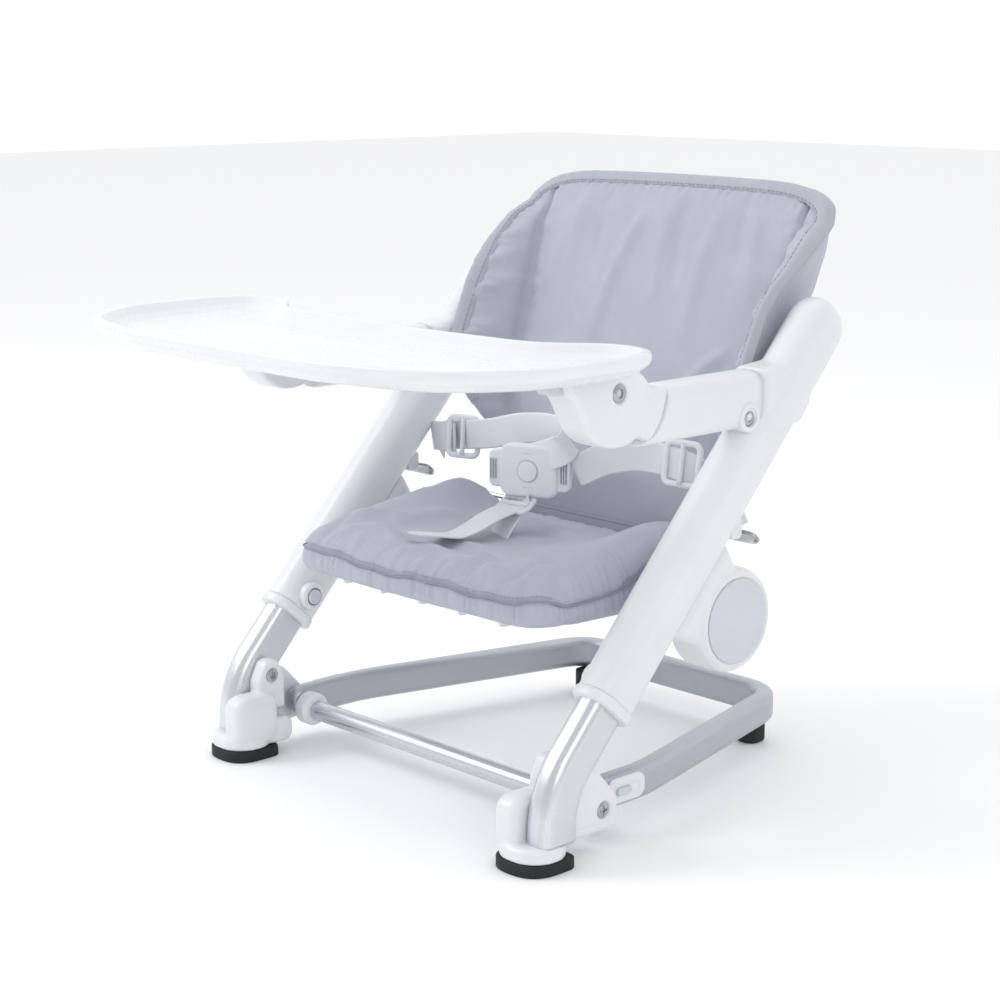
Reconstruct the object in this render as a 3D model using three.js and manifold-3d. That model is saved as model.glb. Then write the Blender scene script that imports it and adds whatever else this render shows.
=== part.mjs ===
// Folding baby high chair with a height-adjustable seat, a reclined bucket back and a clip-on tray.
// Millimetres, +Z up. The child faces -Y, so the child's left hand is on +X. Origin: middle of the
// footprint's box, on the floor.
import * as THREE from "three";
import { mergeVertices } from "three/addons/utils/BufferGeometryUtils.js";
import Module from "manifold-3d";

const wasm = await Module();
wasm.setup();

// ---------------------------------------------------------------- driving dimensions
const GAP = 0.3; // clearance between touching pieces
const CENTRE_SHIFT = -99.5; // moves the foot line, y = 0 here, to its place in front of the origin
const LEG_X = 182; // centre plane of a leg
const LEG_LEAN = THREE.MathUtils.degToRad(42.5); // from the vertical, towards the back
const RING = { y: 47.3, z: 106.4 }; // leg axis at the lower end of the sleeve
const TUBE = { wide: 23, deep: 36, radius: 9, bend: 70, top: 190 };
const SLEEVE = { wide: 34, deep: 46, radius: 15, bore: 0.8, boreEnd: 225 };
const CAP = { wide: 36, deep: 48, end: 343, joint: 291 }; // end is measured along the leg
const HOLE_STEP = 27; // height holes along the leg tube
const HUB = { y: 178, z: 151, radius: 40, inner: 166, outer: 200, cover: 32 };
const FOLD = { y: 50, z: 31 }; // hinge line of the legs on the base
const FRAME = { x: 165, thick: 16, low: 22, high: 48, rear: 334, bendY: 112, lean: 0.258 };
const SOLE = { high: 9, inner: 138, outer: 196, front: -32, back: 14 };
const ARM = { inner: 167, outer: 197, low: 294, high: 336, front: 100, back: 203 };
const HOLDER = { y: 50, z: 336, knuckle: 50, round: 39 }; // pivot line of the tray holder
const TRAY = { top: 369, low: 353, rim: 12, floor: 357.5 };
const SEAT = { half: 143, front: 17, back: 204, low: 156, shellTop: 165, shellHalf: 134 };
const RECLINE = THREE.MathUtils.degToRad(20.6); // of the back panel, from the vertical
const PANEL_BASE = { y: 216.5, z: 172 }; // lower edge of the panel's front face
const BACK_HINGE = { y: 224, z: 168, rod: 4 };
const BACK = { pad: 20, shell: 48, top: 315, wing: 19, slope: 6 }; // depths behind the panel's front face, and length
const WEBBING = { wide: 25, thick: 1.8 };
const BUCKLE = { x: 8, y: 148, z: 242, turn: THREE.MathUtils.degToRad(21), wide: 50, high: 42, thick: 11 };

// ---------------------------------------------------------------- materials
const finish = (color, roughness, metalness = 0) => ({ color, roughness, metalness });
const WHITE = finish(0xe9ebee, 0.38);
const COVER = finish(0xd2d6dc, 0.42);
const SILVER = finish(0xb9bdc4, 0.32, 0.9);
const STEEL = finish(0xa4a6a8, 0.25, 1);
const RUBBER = finish(0x161617, 0.8);
const FABRIC = finish(0xb0b4bf, 0.95);
const STRAP = finish(0xe6e8ec, 0.9);

// ---------------------------------------------------------------- shapes
// Rounded rectangle about the origin.
function roundedRect(width, height, radius) {
  const r = Math.min(radius, width / 2 - 0.01, height / 2 - 0.01);
  const [x, y] = [width / 2, height / 2];
  const shape = new THREE.Shape();
  shape.moveTo(-x + r, -y);
  shape.lineTo(x - r, -y);
  shape.absarc(x - r, -y + r, r, -Math.PI / 2, 0, false);
  shape.absarc(x - r, y - r, r, 0, Math.PI / 2, false);
  shape.absarc(-x + r, y - r, r, Math.PI / 2, Math.PI, false);
  shape.absarc(-x + r, -y + r, r, Math.PI, 1.5 * Math.PI, false);
  return shape;
}

// Rounded rectangle between two corners.
function roundedBetween(low, high, radius) {
  const points = roundedRect(high[0] - low[0], high[1] - low[1], radius).getPoints(2);
  const centre = new THREE.Vector2((low[0] + high[0]) / 2, (low[1] + high[1]) / 2);
  return new THREE.Shape(points.map((point) => point.add(centre)));
}

const polygon = (points) => new THREE.Shape(points.map(([x, y]) => new THREE.Vector2(x, y)));

// Closed strip of even width along a plan line.
function ribbon(points, width) {
  const sides = [[], []];
  points.forEach((point, i) => {
    const before = points[Math.max(i - 1, 0)];
    const after = points[Math.min(i + 1, points.length - 1)];
    const along = new THREE.Vector2().subVectors(after, before).normalize();
    const across = new THREE.Vector2(-along.y, along.x).multiplyScalar(width / 2);
    sides[0].push(point.clone().add(across));
    sides[1].push(point.clone().sub(across));
  });
  return new THREE.Shape([...sides[0], ...sides[1].reverse()]);
}

// Line with rounded corners, each [x, y, radius]. A closed line also rounds its first and last.
function filleted(corners, steps = 5, closed = false) {
  const points = [];
  const count = corners.length;
  corners.forEach(([x, y, radius = 0], i) => {
    const corner = new THREE.Vector2(x, y);
    if (!radius || (!closed && (i === 0 || i === count - 1))) {
      points.push(corner);
      return;
    }
    const before = new THREE.Vector2(...corners[(i + count - 1) % count]).sub(corner).normalize();
    const after = new THREE.Vector2(...corners[(i + 1) % count]).sub(corner).normalize();
    const half = Math.acos(THREE.MathUtils.clamp(before.dot(after), -1, 1)) / 2;
    const reach = radius / Math.tan(half);
    const start = before.multiplyScalar(reach).add(corner);
    const end = after.multiplyScalar(reach).add(corner);
    const curve = new THREE.QuadraticBezierCurve(start, corner, end);
    points.push(...curve.getPoints(steps));
  });
  return points;
}

// ---------------------------------------------------------------- placing and joining
const X_AXIS = new THREE.Vector3(1, 0, 0);
const Y_AXIS = new THREE.Vector3(0, 1, 0);
const Z_AXIS = new THREE.Vector3(0, 0, 1);

const placed = (geometry, ...axes) =>
  geometry.applyMatrix4(new THREE.Matrix4().makeBasis(...axes));
const moved = (geometry, x, y, z) => geometry.translate(x, y, z);

// Extrusion with an optional rounded edge that stays inside the outline.
function prism(shape, depth, edge = 0, holes = []) {
  shape.holes = holes;
  return new THREE.ExtrudeGeometry(shape, {
    depth: depth - 2 * edge,
    bevelEnabled: edge > 0,
    bevelThickness: edge,
    bevelSize: edge,
    bevelOffset: -edge,
    bevelSegments: 1,
    curveSegments: 2,
  }).translate(0, 0, edge);
}

// A shape drawn in (y, z), running from x0 to x1.
const acrossX = (shape, x0, x1, edge = 0) =>
  moved(placed(prism(shape, x1 - x0, edge), Y_AXIS, Z_AXIS, X_AXIS), x0, 0, 0);

// A shape drawn in (x, z), running from y0 to y1.
const acrossY = (shape, y0, y1, edge = 0) =>
  moved(placed(prism(shape, y1 - y0, edge), X_AXIS, Z_AXIS, Y_AXIS.clone().negate()), 0, y1, 0);

// A shape drawn in plan, running from z0 to z1.
const acrossZ = (shape, z0, z1, edge = 0) => moved(prism(shape, z1 - z0, edge), 0, 0, z0);

const box = (low, high) =>
  moved(
    new THREE.BoxGeometry(high[0] - low[0], high[1] - low[1], high[2] - low[2]),
    (low[0] + high[0]) / 2, (low[1] + high[1]) / 2, (low[2] + high[2]) / 2,
  );

// Round bar along X.
const bar = (radius, x0, x1, y, z, sides = 20) =>
  moved(
    new THREE.CylinderGeometry(radius, radius, x1 - x0, sides).rotateZ(-Math.PI / 2),
    (x0 + x1) / 2, y, z,
  );

// Profile of [radius, distance] points turned about X, its distances measured from x0.
function turned(profile, x0, y, z, sides = 24) {
  const points = profile.map(([radius, along]) => new THREE.Vector2(radius, along));
  return moved(new THREE.LatheGeometry(points, sides).rotateZ(-Math.PI / 2), x0, y, z);
}

function solid(geometry) {
  const plain = geometry.clone();
  plain.deleteAttribute("normal");
  plain.deleteAttribute("uv");
  const merged = mergeVertices(plain, 1e-3);
  const mesh = new wasm.Mesh({
    numProp: 3,
    vertProperties: new Float32Array(merged.attributes.position.array),
    triVerts: new Uint32Array(merged.index.array),
  });
  return new wasm.Manifold(mesh);
}

const joined = (...pieces) => pieces.map(solid).reduce((whole, piece) => whole.add(piece));
const cut = (whole, ...tools) => tools.map(solid).reduce((rest, tool) => rest.subtract(tool), whole);

function toGeometry(manifold) {
  const { vertProperties, triVerts } = manifold.getMesh();
  const geometry = new THREE.BufferGeometry();
  geometry.setAttribute("position", new THREE.BufferAttribute(new Float32Array(vertProperties), 3));
  geometry.setIndex(new THREE.BufferAttribute(new Uint32Array(triVerts), 1));
  return geometry;
}

// ---------------------------------------------------------------- the leg's own frame
const ALONG = new THREE.Vector3(0, Math.sin(LEG_LEAN), Math.cos(LEG_LEAN));
const BEHIND = new THREE.Vector3().crossVectors(ALONG, X_AXIS);

// Point of the leg's centre plane: distance above the ring, and distance behind the leg's axis.
function legPoint(along, behind = 0) {
  const point = ALONG.clone().multiplyScalar(along).addScaledVector(BEHIND, behind);
  return [RING.y + point.y, RING.z + point.z];
}

// Geometry made along local z, laid along the leg from the given distance.
function onLeg(geometry, along) {
  const [y, z] = legPoint(along);
  return moved(placed(geometry, X_AXIS, BEHIND, ALONG), LEG_X, y, z);
}

// ---------------------------------------------------------------- the backrest's own frame
const BACK_UP = new THREE.Vector3(0, Math.sin(RECLINE), Math.cos(RECLINE));
const BACK_FRONT = new THREE.Vector3(0, -Math.cos(RECLINE), Math.sin(RECLINE));

// Point of the back's middle plane: distance up the panel, and distance in front of it.
const backPoint = (up, front) => [
  PANEL_BASE.y + up * BACK_UP.y + front * BACK_FRONT.y, PANEL_BASE.z + up * BACK_UP.z + front * BACK_FRONT.z,
];

// An outline drawn as (x, distance up the back), thickened between two depths in front of the panel.
const onBack = (shape, from, to, edge = 0) =>
  moved(
    placed(moved(prism(shape, to - from, edge), 0, 0, -to), X_AXIS, BACK_UP, BACK_FRONT.clone().negate()),
    0, PANEL_BASE.y, PANEL_BASE.z,
  );

// A side profile drawn as (distance up the back, depth in front of it), running from x0 to x1.
const besideBack = (shape, x0, x1) =>
  moved(placed(prism(shape, x1 - x0), BACK_UP, BACK_FRONT, X_AXIS.clone().negate()),
    x1, PANEL_BASE.y, PANEL_BASE.z);

// ---------------------------------------------------------------- the group
const chair = new THREE.Group();
chair.position.y = CENTRE_SHIFT;

function addPart(name, shape, look) {
  const geometry = shape.isBufferGeometry ? shape : toGeometry(shape);
  const mesh = new THREE.Mesh(geometry, new THREE.MeshStandardMaterial(look));
  mesh.name = name;
  chair.add(mesh);
}

// The other side's copy: mirrored in x, with its faces turned out again.
function mirrored(geometry) {
  const copy = (geometry.index ? geometry.toNonIndexed() : geometry.clone()).scale(-1, 1, 1);
  const { array } = copy.attributes.position;
  for (let face = 0; face < array.length; face += 9) {
    for (let axis = 0; axis < 3; axis += 1) {
      const kept = array[face + 3 + axis];
      array[face + 3 + axis] = array[face + 6 + axis];
      array[face + 6 + axis] = kept;
    }
  }
  copy.deleteAttribute("normal");
  return copy;
}

function addPair(name, shape, look) {
  const geometry = shape.isBufferGeometry ? shape : toGeometry(shape);
  addPart(`${name}_left`, geometry, look);
  addPart(`${name}_right`, mirrored(geometry), look);
}

// ---------------------------------------------------------------- base
function frameLine(side) {
  const rearX = FRAME.x - (FRAME.rear - FRAME.bendY) * FRAME.lean;
  return [
    [side * FRAME.x, FOLD.y],
    [side * FRAME.x, FRAME.bendY, 150],
    [side * rearX, FRAME.rear, 30],
  ];
}

function buildBase() {
  const line = filleted([...frameLine(1), ...frameLine(-1).reverse()], 4);
  const tube = acrossZ(ribbon(line, FRAME.thick), FRAME.low, FRAME.high, 4);
  const middle = (FRAME.low + FRAME.high) / 2;
  const nose = moved(frameNose(), FRAME.x - FRAME.thick / 2 + GAP, FOLD.y, middle);
  addPart("base_frame", cut(joined(tube, nose, mirrored(nose)), hingeBore(1), hingeBore(-1)), SILVER);

  const tubeEnd = FRAME.x - FRAME.thick / 2 - 2 * GAP;
  addPart("cross_tube", bar(8, -tubeEnd, tubeEnd, FOLD.y, FOLD.z, 16), SILVER);
  const collar = [[8.4, 0], [11.5, 0], [13.5, 2], [13.5, 13], [8.4, 13], [8.4, 0]];
  addPair("cross_tube_collar", turned(collar, tubeEnd - 13, FOLD.y, FOLD.z, 16), WHITE);

  const pad = roundedBetween([86, 321], [119, 349], 7);
  addPair("rear_pad", acrossZ(pad, 0, FRAME.low - GAP, 2), RUBBER);

  const outer = FRAME.x + FRAME.thick / 2 + GAP;
  const plate = acrossX(roundedBetween([66, 27], [104, 46], 6), outer, outer + 2.4);
  const slot = box([outer - 1, 72, 33], [outer + 4, 98, 40]);
  addPair("fold_latch_guide", cut(solid(plate), slot), WHITE);
  const pill = acrossX(roundedBetween([72.4, 33.4], [88, 39.6], 3), outer, outer + 5, 0.8);
  addPair("fold_latch_slider", pill, COVER);

  const screw = [[0, 0], [3, 0], [3, 21], [6, 21], [6, 23], [4.5, 24.4], [2.2, 24.4], [1.6, 23.2], [0, 23.2]];
  addPair("hinge_screw", turned(screw, 161.5, FOLD.y, FOLD.z, 10), STEEL);
}

// Round end of the frame's front, about the hinge line.
function frameNose() {
  const height = FRAME.high - FRAME.low;
  const shape = roundedRect(height * 0.94, height, 11);
  return placed(prism(shape, FRAME.thick - 2 * GAP, 4), Y_AXIS, Z_AXIS, X_AXIS);
}

const hingeBore = (side) =>
  side > 0 ? bar(3.3, 161, 176, FOLD.y, FOLD.z, 16) : bar(3.3, -176, -161, FOLD.y, FOLD.z, 16);

// ---------------------------------------------------------------- legs
function legTubeGeometry() {
  const reach = TUBE.bend * Math.tan(LEG_LEAN / 2);
  const cornerZ = RING.z - RING.y / Math.tan(LEG_LEAN);
  const bendStart = cornerZ - reach;
  const section = roundedRect(TUBE.wide, TUBE.deep, TUBE.radius).getPoints(2).slice(0, -1);
  const upright = (z) => section.map(({ x, y }) => [LEG_X + x, y, z]);
  const turned = (angle) =>
    section.map(({ x, y }) => {
      const radius = TUBE.bend - y;
      return [LEG_X + x, TUBE.bend - radius * Math.cos(angle), bendStart + radius * Math.sin(angle)];
    });
  const slanted = (along) => section.map(({ x, y }) => [LEG_X + x, ...legPoint(along, y)]);
  const steps = [1, 2, 3, 4, 5].map((step) => turned((step * LEG_LEAN) / 5));
  return lofted([upright(22), upright(bendStart), ...steps, slanted(TUBE.top)]);
}

// Closed wall through matching rings of points, with flat ends.
function lofted(rings) {
  const count = rings[0].length;
  const faces = [];
  for (let level = 0; level < rings.length - 1; level += 1) {
    for (let i = 0; i < count; i += 1) {
      const [here, next] = [level * count + i, level * count + ((i + 1) % count)];
      faces.push(here, next, here + count, next, next + count, here + count);
    }
  }
  const last = (rings.length - 1) * count;
  for (let i = 1; i < count - 1; i += 1) {
    faces.push(0, i + 1, i, last, last + i, last + i + 1);
  }
  const geometry = new THREE.BufferGeometry();
  geometry.setAttribute("position", new THREE.Float32BufferAttribute(rings.flat(2), 3));
  geometry.setIndex(faces);
  return geometry;
}

function footBracket() {
  const flange = acrossZ(roundedBetween([139, -30], [195, 13], 16), SOLE.high + GAP, 20, 1.5);
  const socket = acrossZ(roundedBetween([166, -22.5], [198, 20.5], 10), 19, 34);
  const block = acrossX(roundedBetween([-28, 12], [14, 50], 9), 141, 169.8);
  const ear = acrossX(polygon([[2, 40], [27, 40], [27, 64], [22, 75], [15, 78], [8, 75], [2, 64]]), 158, 169.8);
  const plate = acrossX(roundedBetween([14, 16], [64, 47], 14), 176.8, 186);
  const rise = acrossX(polygon([[14, 20], [40, 20], [52, 40], [34, 60], [19.5, 62]]), 176.8, 186);
  return joined(flange, socket, block, ear, plate, rise);
}

function buildLegs() {
  const tube = solid(legTubeGeometry());
  const holes = [-1.37, -0.37].map((step) => {
    const drill = new THREE.CylinderGeometry(3.4, 3.4, 12, 12).rotateX(Math.PI / 2);
    const [y, z] = legPoint(step * HOLE_STEP, -TUBE.deep / 2);
    return moved(drill.applyMatrix4(new THREE.Matrix4().makeRotationX(Math.PI / 4)), LEG_X, y, z);
  });
  addPair("leg_tube", cut(tube, ...holes), SILVER);

  const channel = moved(
    prism(roundedRect(TUBE.wide + 2 * GAP, TUBE.deep + 2 * GAP, TUBE.radius), 25), LEG_X, 0, 21.7);
  const passage = box([LEG_X - TUBE.wide / 2 - GAP, -19, 24], [LEG_X + TUBE.wide / 2 + GAP, 90, 120]);
  const bolt = bar(3.6, 150, 175, 15, 65, 14);
  const hinge = bar(3.3, 176, 190, FOLD.y, FOLD.z, 16);
  const recess = bar(6.6, 182.2, 190, FOLD.y, FOLD.z, 16);
  const bracket = cut(footBracket(), channel, passage, bolt, hinge, recess);
  addPair("foot_bracket", bracket, WHITE);

  const sole = filleted([
    [SOLE.inner + 20, SOLE.back], [SOLE.inner, SOLE.back, 4], [SOLE.inner, SOLE.front, 16],
    [SOLE.outer, SOLE.front, 20], [SOLE.outer, SOLE.back, 7], [SOLE.inner + 20, SOLE.back],
  ]);
  addPair("foot_sole", acrossZ(new THREE.Shape(sole.slice(1)), 0, SOLE.high, 1.5), RUBBER);

  const screw = [[0, 0], [1.4, 0], [2, -1.6], [5.4, -1.6], [5.8, 0.4], [3.3, 0.6], [3.3, 11.6], [0, 11.6]];
  addPair("foot_screw", turned(screw, 157.3, 15, 65, 10), STEEL);
}

// ---------------------------------------------------------------- carriage
function sleevePiece(wide, deep, from, to) {
  return onLeg(prism(roundedRect(wide, deep, SLEEVE.radius), to - from), from);
}

function buildSleeve() {
  const tubeRoom = prism(
    roundedRect(TUBE.wide + 2 * SLEEVE.bore, TUBE.deep + 2 * SLEEVE.bore, TUBE.radius), SLEEVE.boreEnd + 20);
  const bore = onLeg(tubeRoom, -20);
  const outer = sleevePiece(SLEEVE.wide, SLEEVE.deep, 8, 300);
  const [lockY, lockZ] = legPoint(22);
  const inner = LEG_X - SLEEVE.wide / 2;
  const boss = bar(13, inner - 6, inner + 6, lockY, lockZ, 24);
  const [lugY, lugZ] = legPoint(176, 27);
  const lug = moved(new THREE.BoxGeometry(16, 12, 26).rotateX(-LEG_LEAN), LEG_X, lugY, lugZ);
  const pinHole = moved(new THREE.CylinderGeometry(2.4, 2.4, 40, 10).rotateZ(Math.PI / 2), LEG_X, ...legPoint(176, 29.5));
  const above = box([100, 0, CAP.joint - GAP], [260, 400, 500]);
  const lock = bar(8.4, inner - 8, inner + 6, lockY, lockZ, 20);
  addPair("sleeve", cut(joined(outer, boss, lug), bore, pinHole, above, lock), WHITE);

  const button = [[0, 0], [5.2, 0], [6.4, -1.2], [8, -0.6], [8, 5], [0, 5]];
  addPair("height_button", turned(button, inner - 5, lockY, lockZ, 14), COVER);

  const ringHole = [new THREE.Path(roundedRect(
    TUBE.wide + 2 * SLEEVE.bore, TUBE.deep + 2 * SLEEVE.bore, TUBE.radius).getPoints(2))];
  const ring = onLeg(prism(roundedRect(38, 50, 17), 7.7, 0, ringHole), 0);
  addPair("sleeve_ring", ring, WHITE);
}

function buildCap() {
  const dome = new THREE.SphereGeometry(1, 16, 10).scale(CAP.wide / 2, CAP.deep / 2, CAP.deep / 2);
  const stem = onLeg(prism(roundedRect(CAP.wide, CAP.deep, 17), CAP.end - 190), 190);
  const low = [ARM.back + GAP, CAP.joint];
  const bracket = acrossX(roundedBetween(low, [262, ARM.high + 1], 8), ARM.inner - 1, ARM.outer + 1, 4);
  const below = box([100, 0, 200], [260, 400, CAP.joint]);
  const boreTop = onLeg(
    prism(roundedRect(TUBE.wide + 2 * SLEEVE.bore, TUBE.deep + 2 * SLEEVE.bore, TUBE.radius), 60),
    SLEEVE.boreEnd - 60);
  addPair("top_cap", cut(joined(stem, onLeg(dome, CAP.end), bracket), below, boreTop), WHITE);
}

function buildHub() {
  const depth = HUB.outer - HUB.inner;
  const rim = [
    [0, 0], [HUB.radius, 0], [HUB.radius, depth - 8], [HUB.radius - 2.3, depth - 2.3],
    [HUB.cover + 1.2, depth], [HUB.cover + 0.4, depth - 0.6], [HUB.cover + 0.4, depth - 3.4], [0, depth - 3.4],
  ];
  const drum = turned(rim, HUB.inner, HUB.y, HUB.z, 24);
  const along = (HUB.y - RING.y) * ALONG.y + (HUB.z - RING.z) * ALONG.z;
  const web = [[-44, 23 + GAP], [38, 23 + GAP], [26, 62], [-32, 62]].map(([up, behind]) =>
    legPoint(along + up, behind));
  const neck = acrossX(polygon(web), LEG_X - 14, LEG_X + 14, 3);
  const bore = bar(8.4, HUB.inner - 1, HUB.inner + 12, HUB.y, HUB.z, 20);
  const sleeveRoom = sleevePiece(SLEEVE.wide + 2 * GAP, SLEEVE.deep + 2 * GAP, 0, 290);
  addPair("hub_drum", cut(joined(drum, neck), bore, sleeveRoom), WHITE);
  const cover = [[0, 0], [HUB.cover, 0], [HUB.cover, 2.4], [HUB.cover - 0.9, 3.3], [0, 3.3]];
  addPair("hub_cover", turned(cover, HUB.outer - 3.4 + GAP, HUB.y, HUB.z, 24), COVER);
}

function buildArm() {
  const section = roundedBetween([ARM.inner, ARM.low], [ARM.outer, ARM.high], 11);
  const rod = acrossY(section, ARM.front - 20, ARM.back);
  const knuckle = bar(HOLDER.knuckle + GAP, ARM.inner - 4, ARM.outer + 4, HOLDER.y, HOLDER.z, 36);
  const stem = sleevePiece(CAP.wide + 2 * GAP, CAP.deep + 2 * GAP, 190, 300);
  const tongue = bar(15, LEG_X - 4, LEG_X + 4, HOLDER.y, HOLDER.z, 20);
  const root = box([LEG_X - 4, HOLDER.y + 8, HOLDER.z - 14], [LEG_X + 4, ARM.front + 6, HOLDER.z - 2]);
  const boss = bar(11, ARM.inner + 8, ARM.outer + 1.2, 188, 303, 24);
  const screwHole = bar(4.2, ARM.outer - 10, ARM.outer + 4, 188, 303, 14);
  const pivotHole = bar(4, ARM.inner - 2, ARM.outer + 2, HOLDER.y, HOLDER.z, 18);
  const body = cut(joined(rod), knuckle).add(solid(tongue)).add(solid(root)).add(solid(boss));
  addPair("armrest", cut(body, screwHole, pivotHole, stem), WHITE);
  const screw = [[0, 0], [3.8, 0], [3.8, 8.4], [2.2, 8.6], [1.4, 7.4], [0, 7.4]];
  addPair("arm_screw", turned(screw, ARM.outer - 9, 188, 303, 10), STEEL);

  addPair("harness_ring", harnessRing(), STEEL);
}

// Flat wire loop that lies along the back of the sleeve and hooks through its lug.
function harnessRing() {
  const outline = roundedRect(36, 13, 4);
  outline.holes = [new THREE.Path(roundedRect(29, 6.4, 2).getPoints(3).reverse())];
  const loop = new THREE.ExtrudeGeometry(outline, { depth: 3, bevelEnabled: false, curveSegments: 3 });
  const [y, z] = legPoint(179, 40);
  return moved(placed(moved(loop, 0, 0, -1.5), X_AXIS, BEHIND, ALONG), LEG_X, y, z);
}

function buildHolder() {
  const outline = polygon([
    [-3, TRAY.low - GAP], [68, TRAY.low - GAP], [80, 343], [88, HOLDER.z],
    ...arcPoints(HOLDER, HOLDER.knuckle, 0, -0.88, 5),
    ...arcPoints(HOLDER, HOLDER.round, -1.0, -2.5, 6),
    [6, HOLDER.z], [-2, 345],
  ]);
  const body = acrossX(outline, ARM.inner, ARM.outer, 3);
  const slot = bar(16, LEG_X - 4.6, LEG_X + 4.6, HOLDER.y, HOLDER.z, 20);
  const swing = [[4, -16], [62, -16], [62, 6], [46, 42], [6, 13]].map(([y, z]) => [HOLDER.y + y, HOLDER.z + z]);
  const opening = acrossX(polygon(swing), LEG_X - 4.6, LEG_X + 4.6);
  const buttonRoom = box([LEG_X - 9.4, -10, 338.6], [LEG_X + 9.4, 16, 350.4]);
  const pivot = bar(3.5, ARM.inner - 2, ARM.outer + 2, HOLDER.y, HOLDER.z, 14);
  const recess = bar(7.6, ARM.outer - 2.6, ARM.outer + 2, HOLDER.y, HOLDER.z, 18);
  addPair("tray_holder", cut(joined(body), slot, opening, buttonRoom, pivot, recess), WHITE);
  const screw = [[0, 0], [3.2, 0], [3.2, 27.6], [6.6, 27.6], [6.6, 29], [5, 30], [2.2, 30], [1.6, 28.6], [0, 28.6]];
  addPair("holder_screw", turned(screw, ARM.inner, HOLDER.y, HOLDER.z, 10), STEEL);
  const button = acrossX(roundedBetween([-9, 339], [8, 350], 4), LEG_X - 9, LEG_X + 9, 1.5);
  addPair("tray_release_button", button, COVER);
}

function arcPoints({ y, z }, radius, from, to, steps) {
  return Array.from({ length: steps + 1 }, (unused, i) => {
    const angle = from + ((to - from) * i) / steps;
    return [y + radius * Math.cos(angle), z + radius * Math.sin(angle)];
  });
}

// ---------------------------------------------------------------- tray
function trayOutline(inset) {
  const half = [
    [0, -150 + inset, 0], [110, -149 + inset, 120], [206 - inset, -136 + inset, 44 - inset],
    [243 - inset, -84, 60 - inset], [243 - inset, 0, 60], [236 - inset, 60 - inset, 34 - inset],
    [178 + inset / 2, 62 - inset, 26 - inset], [146 + inset / 2, 24 - inset, 40], [0, 14 - inset, 0],
  ];
  const right = half.slice(1, -1).map(([x, y, r]) => [-x, y, r]).reverse();
  return filleted([...half, ...right, half[0]], 3).slice(0, -1);
}

function buildTray() {
  const plate = acrossZ(new THREE.Shape(trayOutline(0)), TRAY.low, TRAY.top, 4);
  const well = acrossZ(new THREE.Shape(trayOutline(TRAY.rim)), TRAY.floor, TRAY.top + 10);
  addPart("tray", cut(joined(plate), well), WHITE);
}

// ---------------------------------------------------------------- seat
function buildSeat() {
  const plan = roundedBetween([-SEAT.shellHalf, 26], [SEAT.shellHalf, 196], 18);
  const pan = acrossZ(plan, SEAT.low, SEAT.shellTop, 1.5);
  const earShape = polygon([[162, SEAT.low], [196, SEAT.low], [196, 164.5], [162, 164.5]]);
  const rail = acrossX(earShape, 120, 160);
  const drop = acrossX(polygon([[164, 140], [192, 140], [192, 164], [164, 164]]), 155.8, 160, 1);
  const pin = bar(8, 158, HUB.inner + 11, HUB.y, HUB.z, 20);
  const lug = acrossX(roundedBetween([180, SEAT.low], [BACK_HINGE.y + 11, 181], 8), 114, 124);
  const half = [rail, drop, pin, lug];
  const rodRoom = bar(BACK_HINGE.rod + GAP, -150, 150, BACK_HINGE.y, BACK_HINGE.z, 16);
  addPart("seat_shell", cut(joined(pan, ...half, ...half.map(mirrored)), rodRoom), WHITE);
  addPart("back_hinge_rod", bar(BACK_HINGE.rod, -125, 125, BACK_HINGE.y, BACK_HINGE.z, 16), STEEL);
  buildSeatCushion();
}

// Padded seat with raised sides; its skirt hangs over the shell's edge.
function buildSeatCushion() {
  const { half, low } = SEAT;
  const profile = filleted([
    [0, low], [half, low, 8], [half, 204, 18], [112, 200, 20], [84, 188, 30], [0, 186],
    [-84, 188, 30], [-112, 200, 20], [-half, 204, 18], [-half, low, 8], [0, low],
  ], 3).slice(0, -1);
  const body = acrossY(new THREE.Shape(profile), SEAT.front, SEAT.back, 5);
  const side = acrossX(polygon([[0, 150], [220, 150], [220, 212], [150, 206], [70, 196], [10, 176]]), -160, 160);
  const edge = SEAT.shellHalf + 2 * GAP;
  const shellRoom = box([-edge, 25.4, 100], [edge, 300, SEAT.shellTop + GAP]);
  const earRoom = box([-200, 158, 100], [200, 300, SEAT.shellTop + GAP]);
  const lugRoom = box([112, 176, 100], [126, 300, 182]);
  const bucket = solid(body).intersect(solid(side));
  addPart("seat_cushion", cut(bucket, shellRoom, earRoom, lugRoom, mirrored(lugRoom)), FABRIC);
}

// ---------------------------------------------------------------- backrest
// Front outline of the bucket back, as (x, distance up the back).
function backOutline(inset, low) {
  const half = [
    [104 - inset, low, 10], [112 - inset, low + 28, 12], [150 - inset, 96, 20], [163 - inset, 150, 40],
    [163 - inset, 212, 12], [173 - inset, 236, 20], [170 - inset, 290 - inset, 26],
    [146 - inset, BACK.top - inset, 34],
  ];
  const left = half.map(([x, t, r]) => [-x, t, r]).reverse();
  return new THREE.Shape(filleted([...half, ...left], 1, true));
}

// The cushion as (distance up the back, half width, depth of the wings in front of the panel).
const BACK_PROFILE = [
  [22, 104, 0], [50, 112, 0], [78, 134, 2], [86, 142, 15], [104, 152, 32], [128, 159, 39], [150, 163, 45],
  [197, 163, 41], [216, 164, 35], [236, 172, 28], [263, 172, 16], [283, 169, 4], [296, 162, 0], [BACK.top, 140, 0],
];

// One level of the cushion: the panel's back, the wings' outsides, and the panel's front between the wings.
function cushionRing([up, half, wing]) {
  const inner = half - BACK.wing;
  const section = [
    [-half, -BACK.pad], [-half, wing], [-inner, wing], [BACK.slope - inner, 0],
    [inner - BACK.slope, 0], [inner, wing], [half, wing], [half, -BACK.pad],
  ];
  return section.map(([x, front]) => [x, ...backPoint(up, front)]);
}

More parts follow.
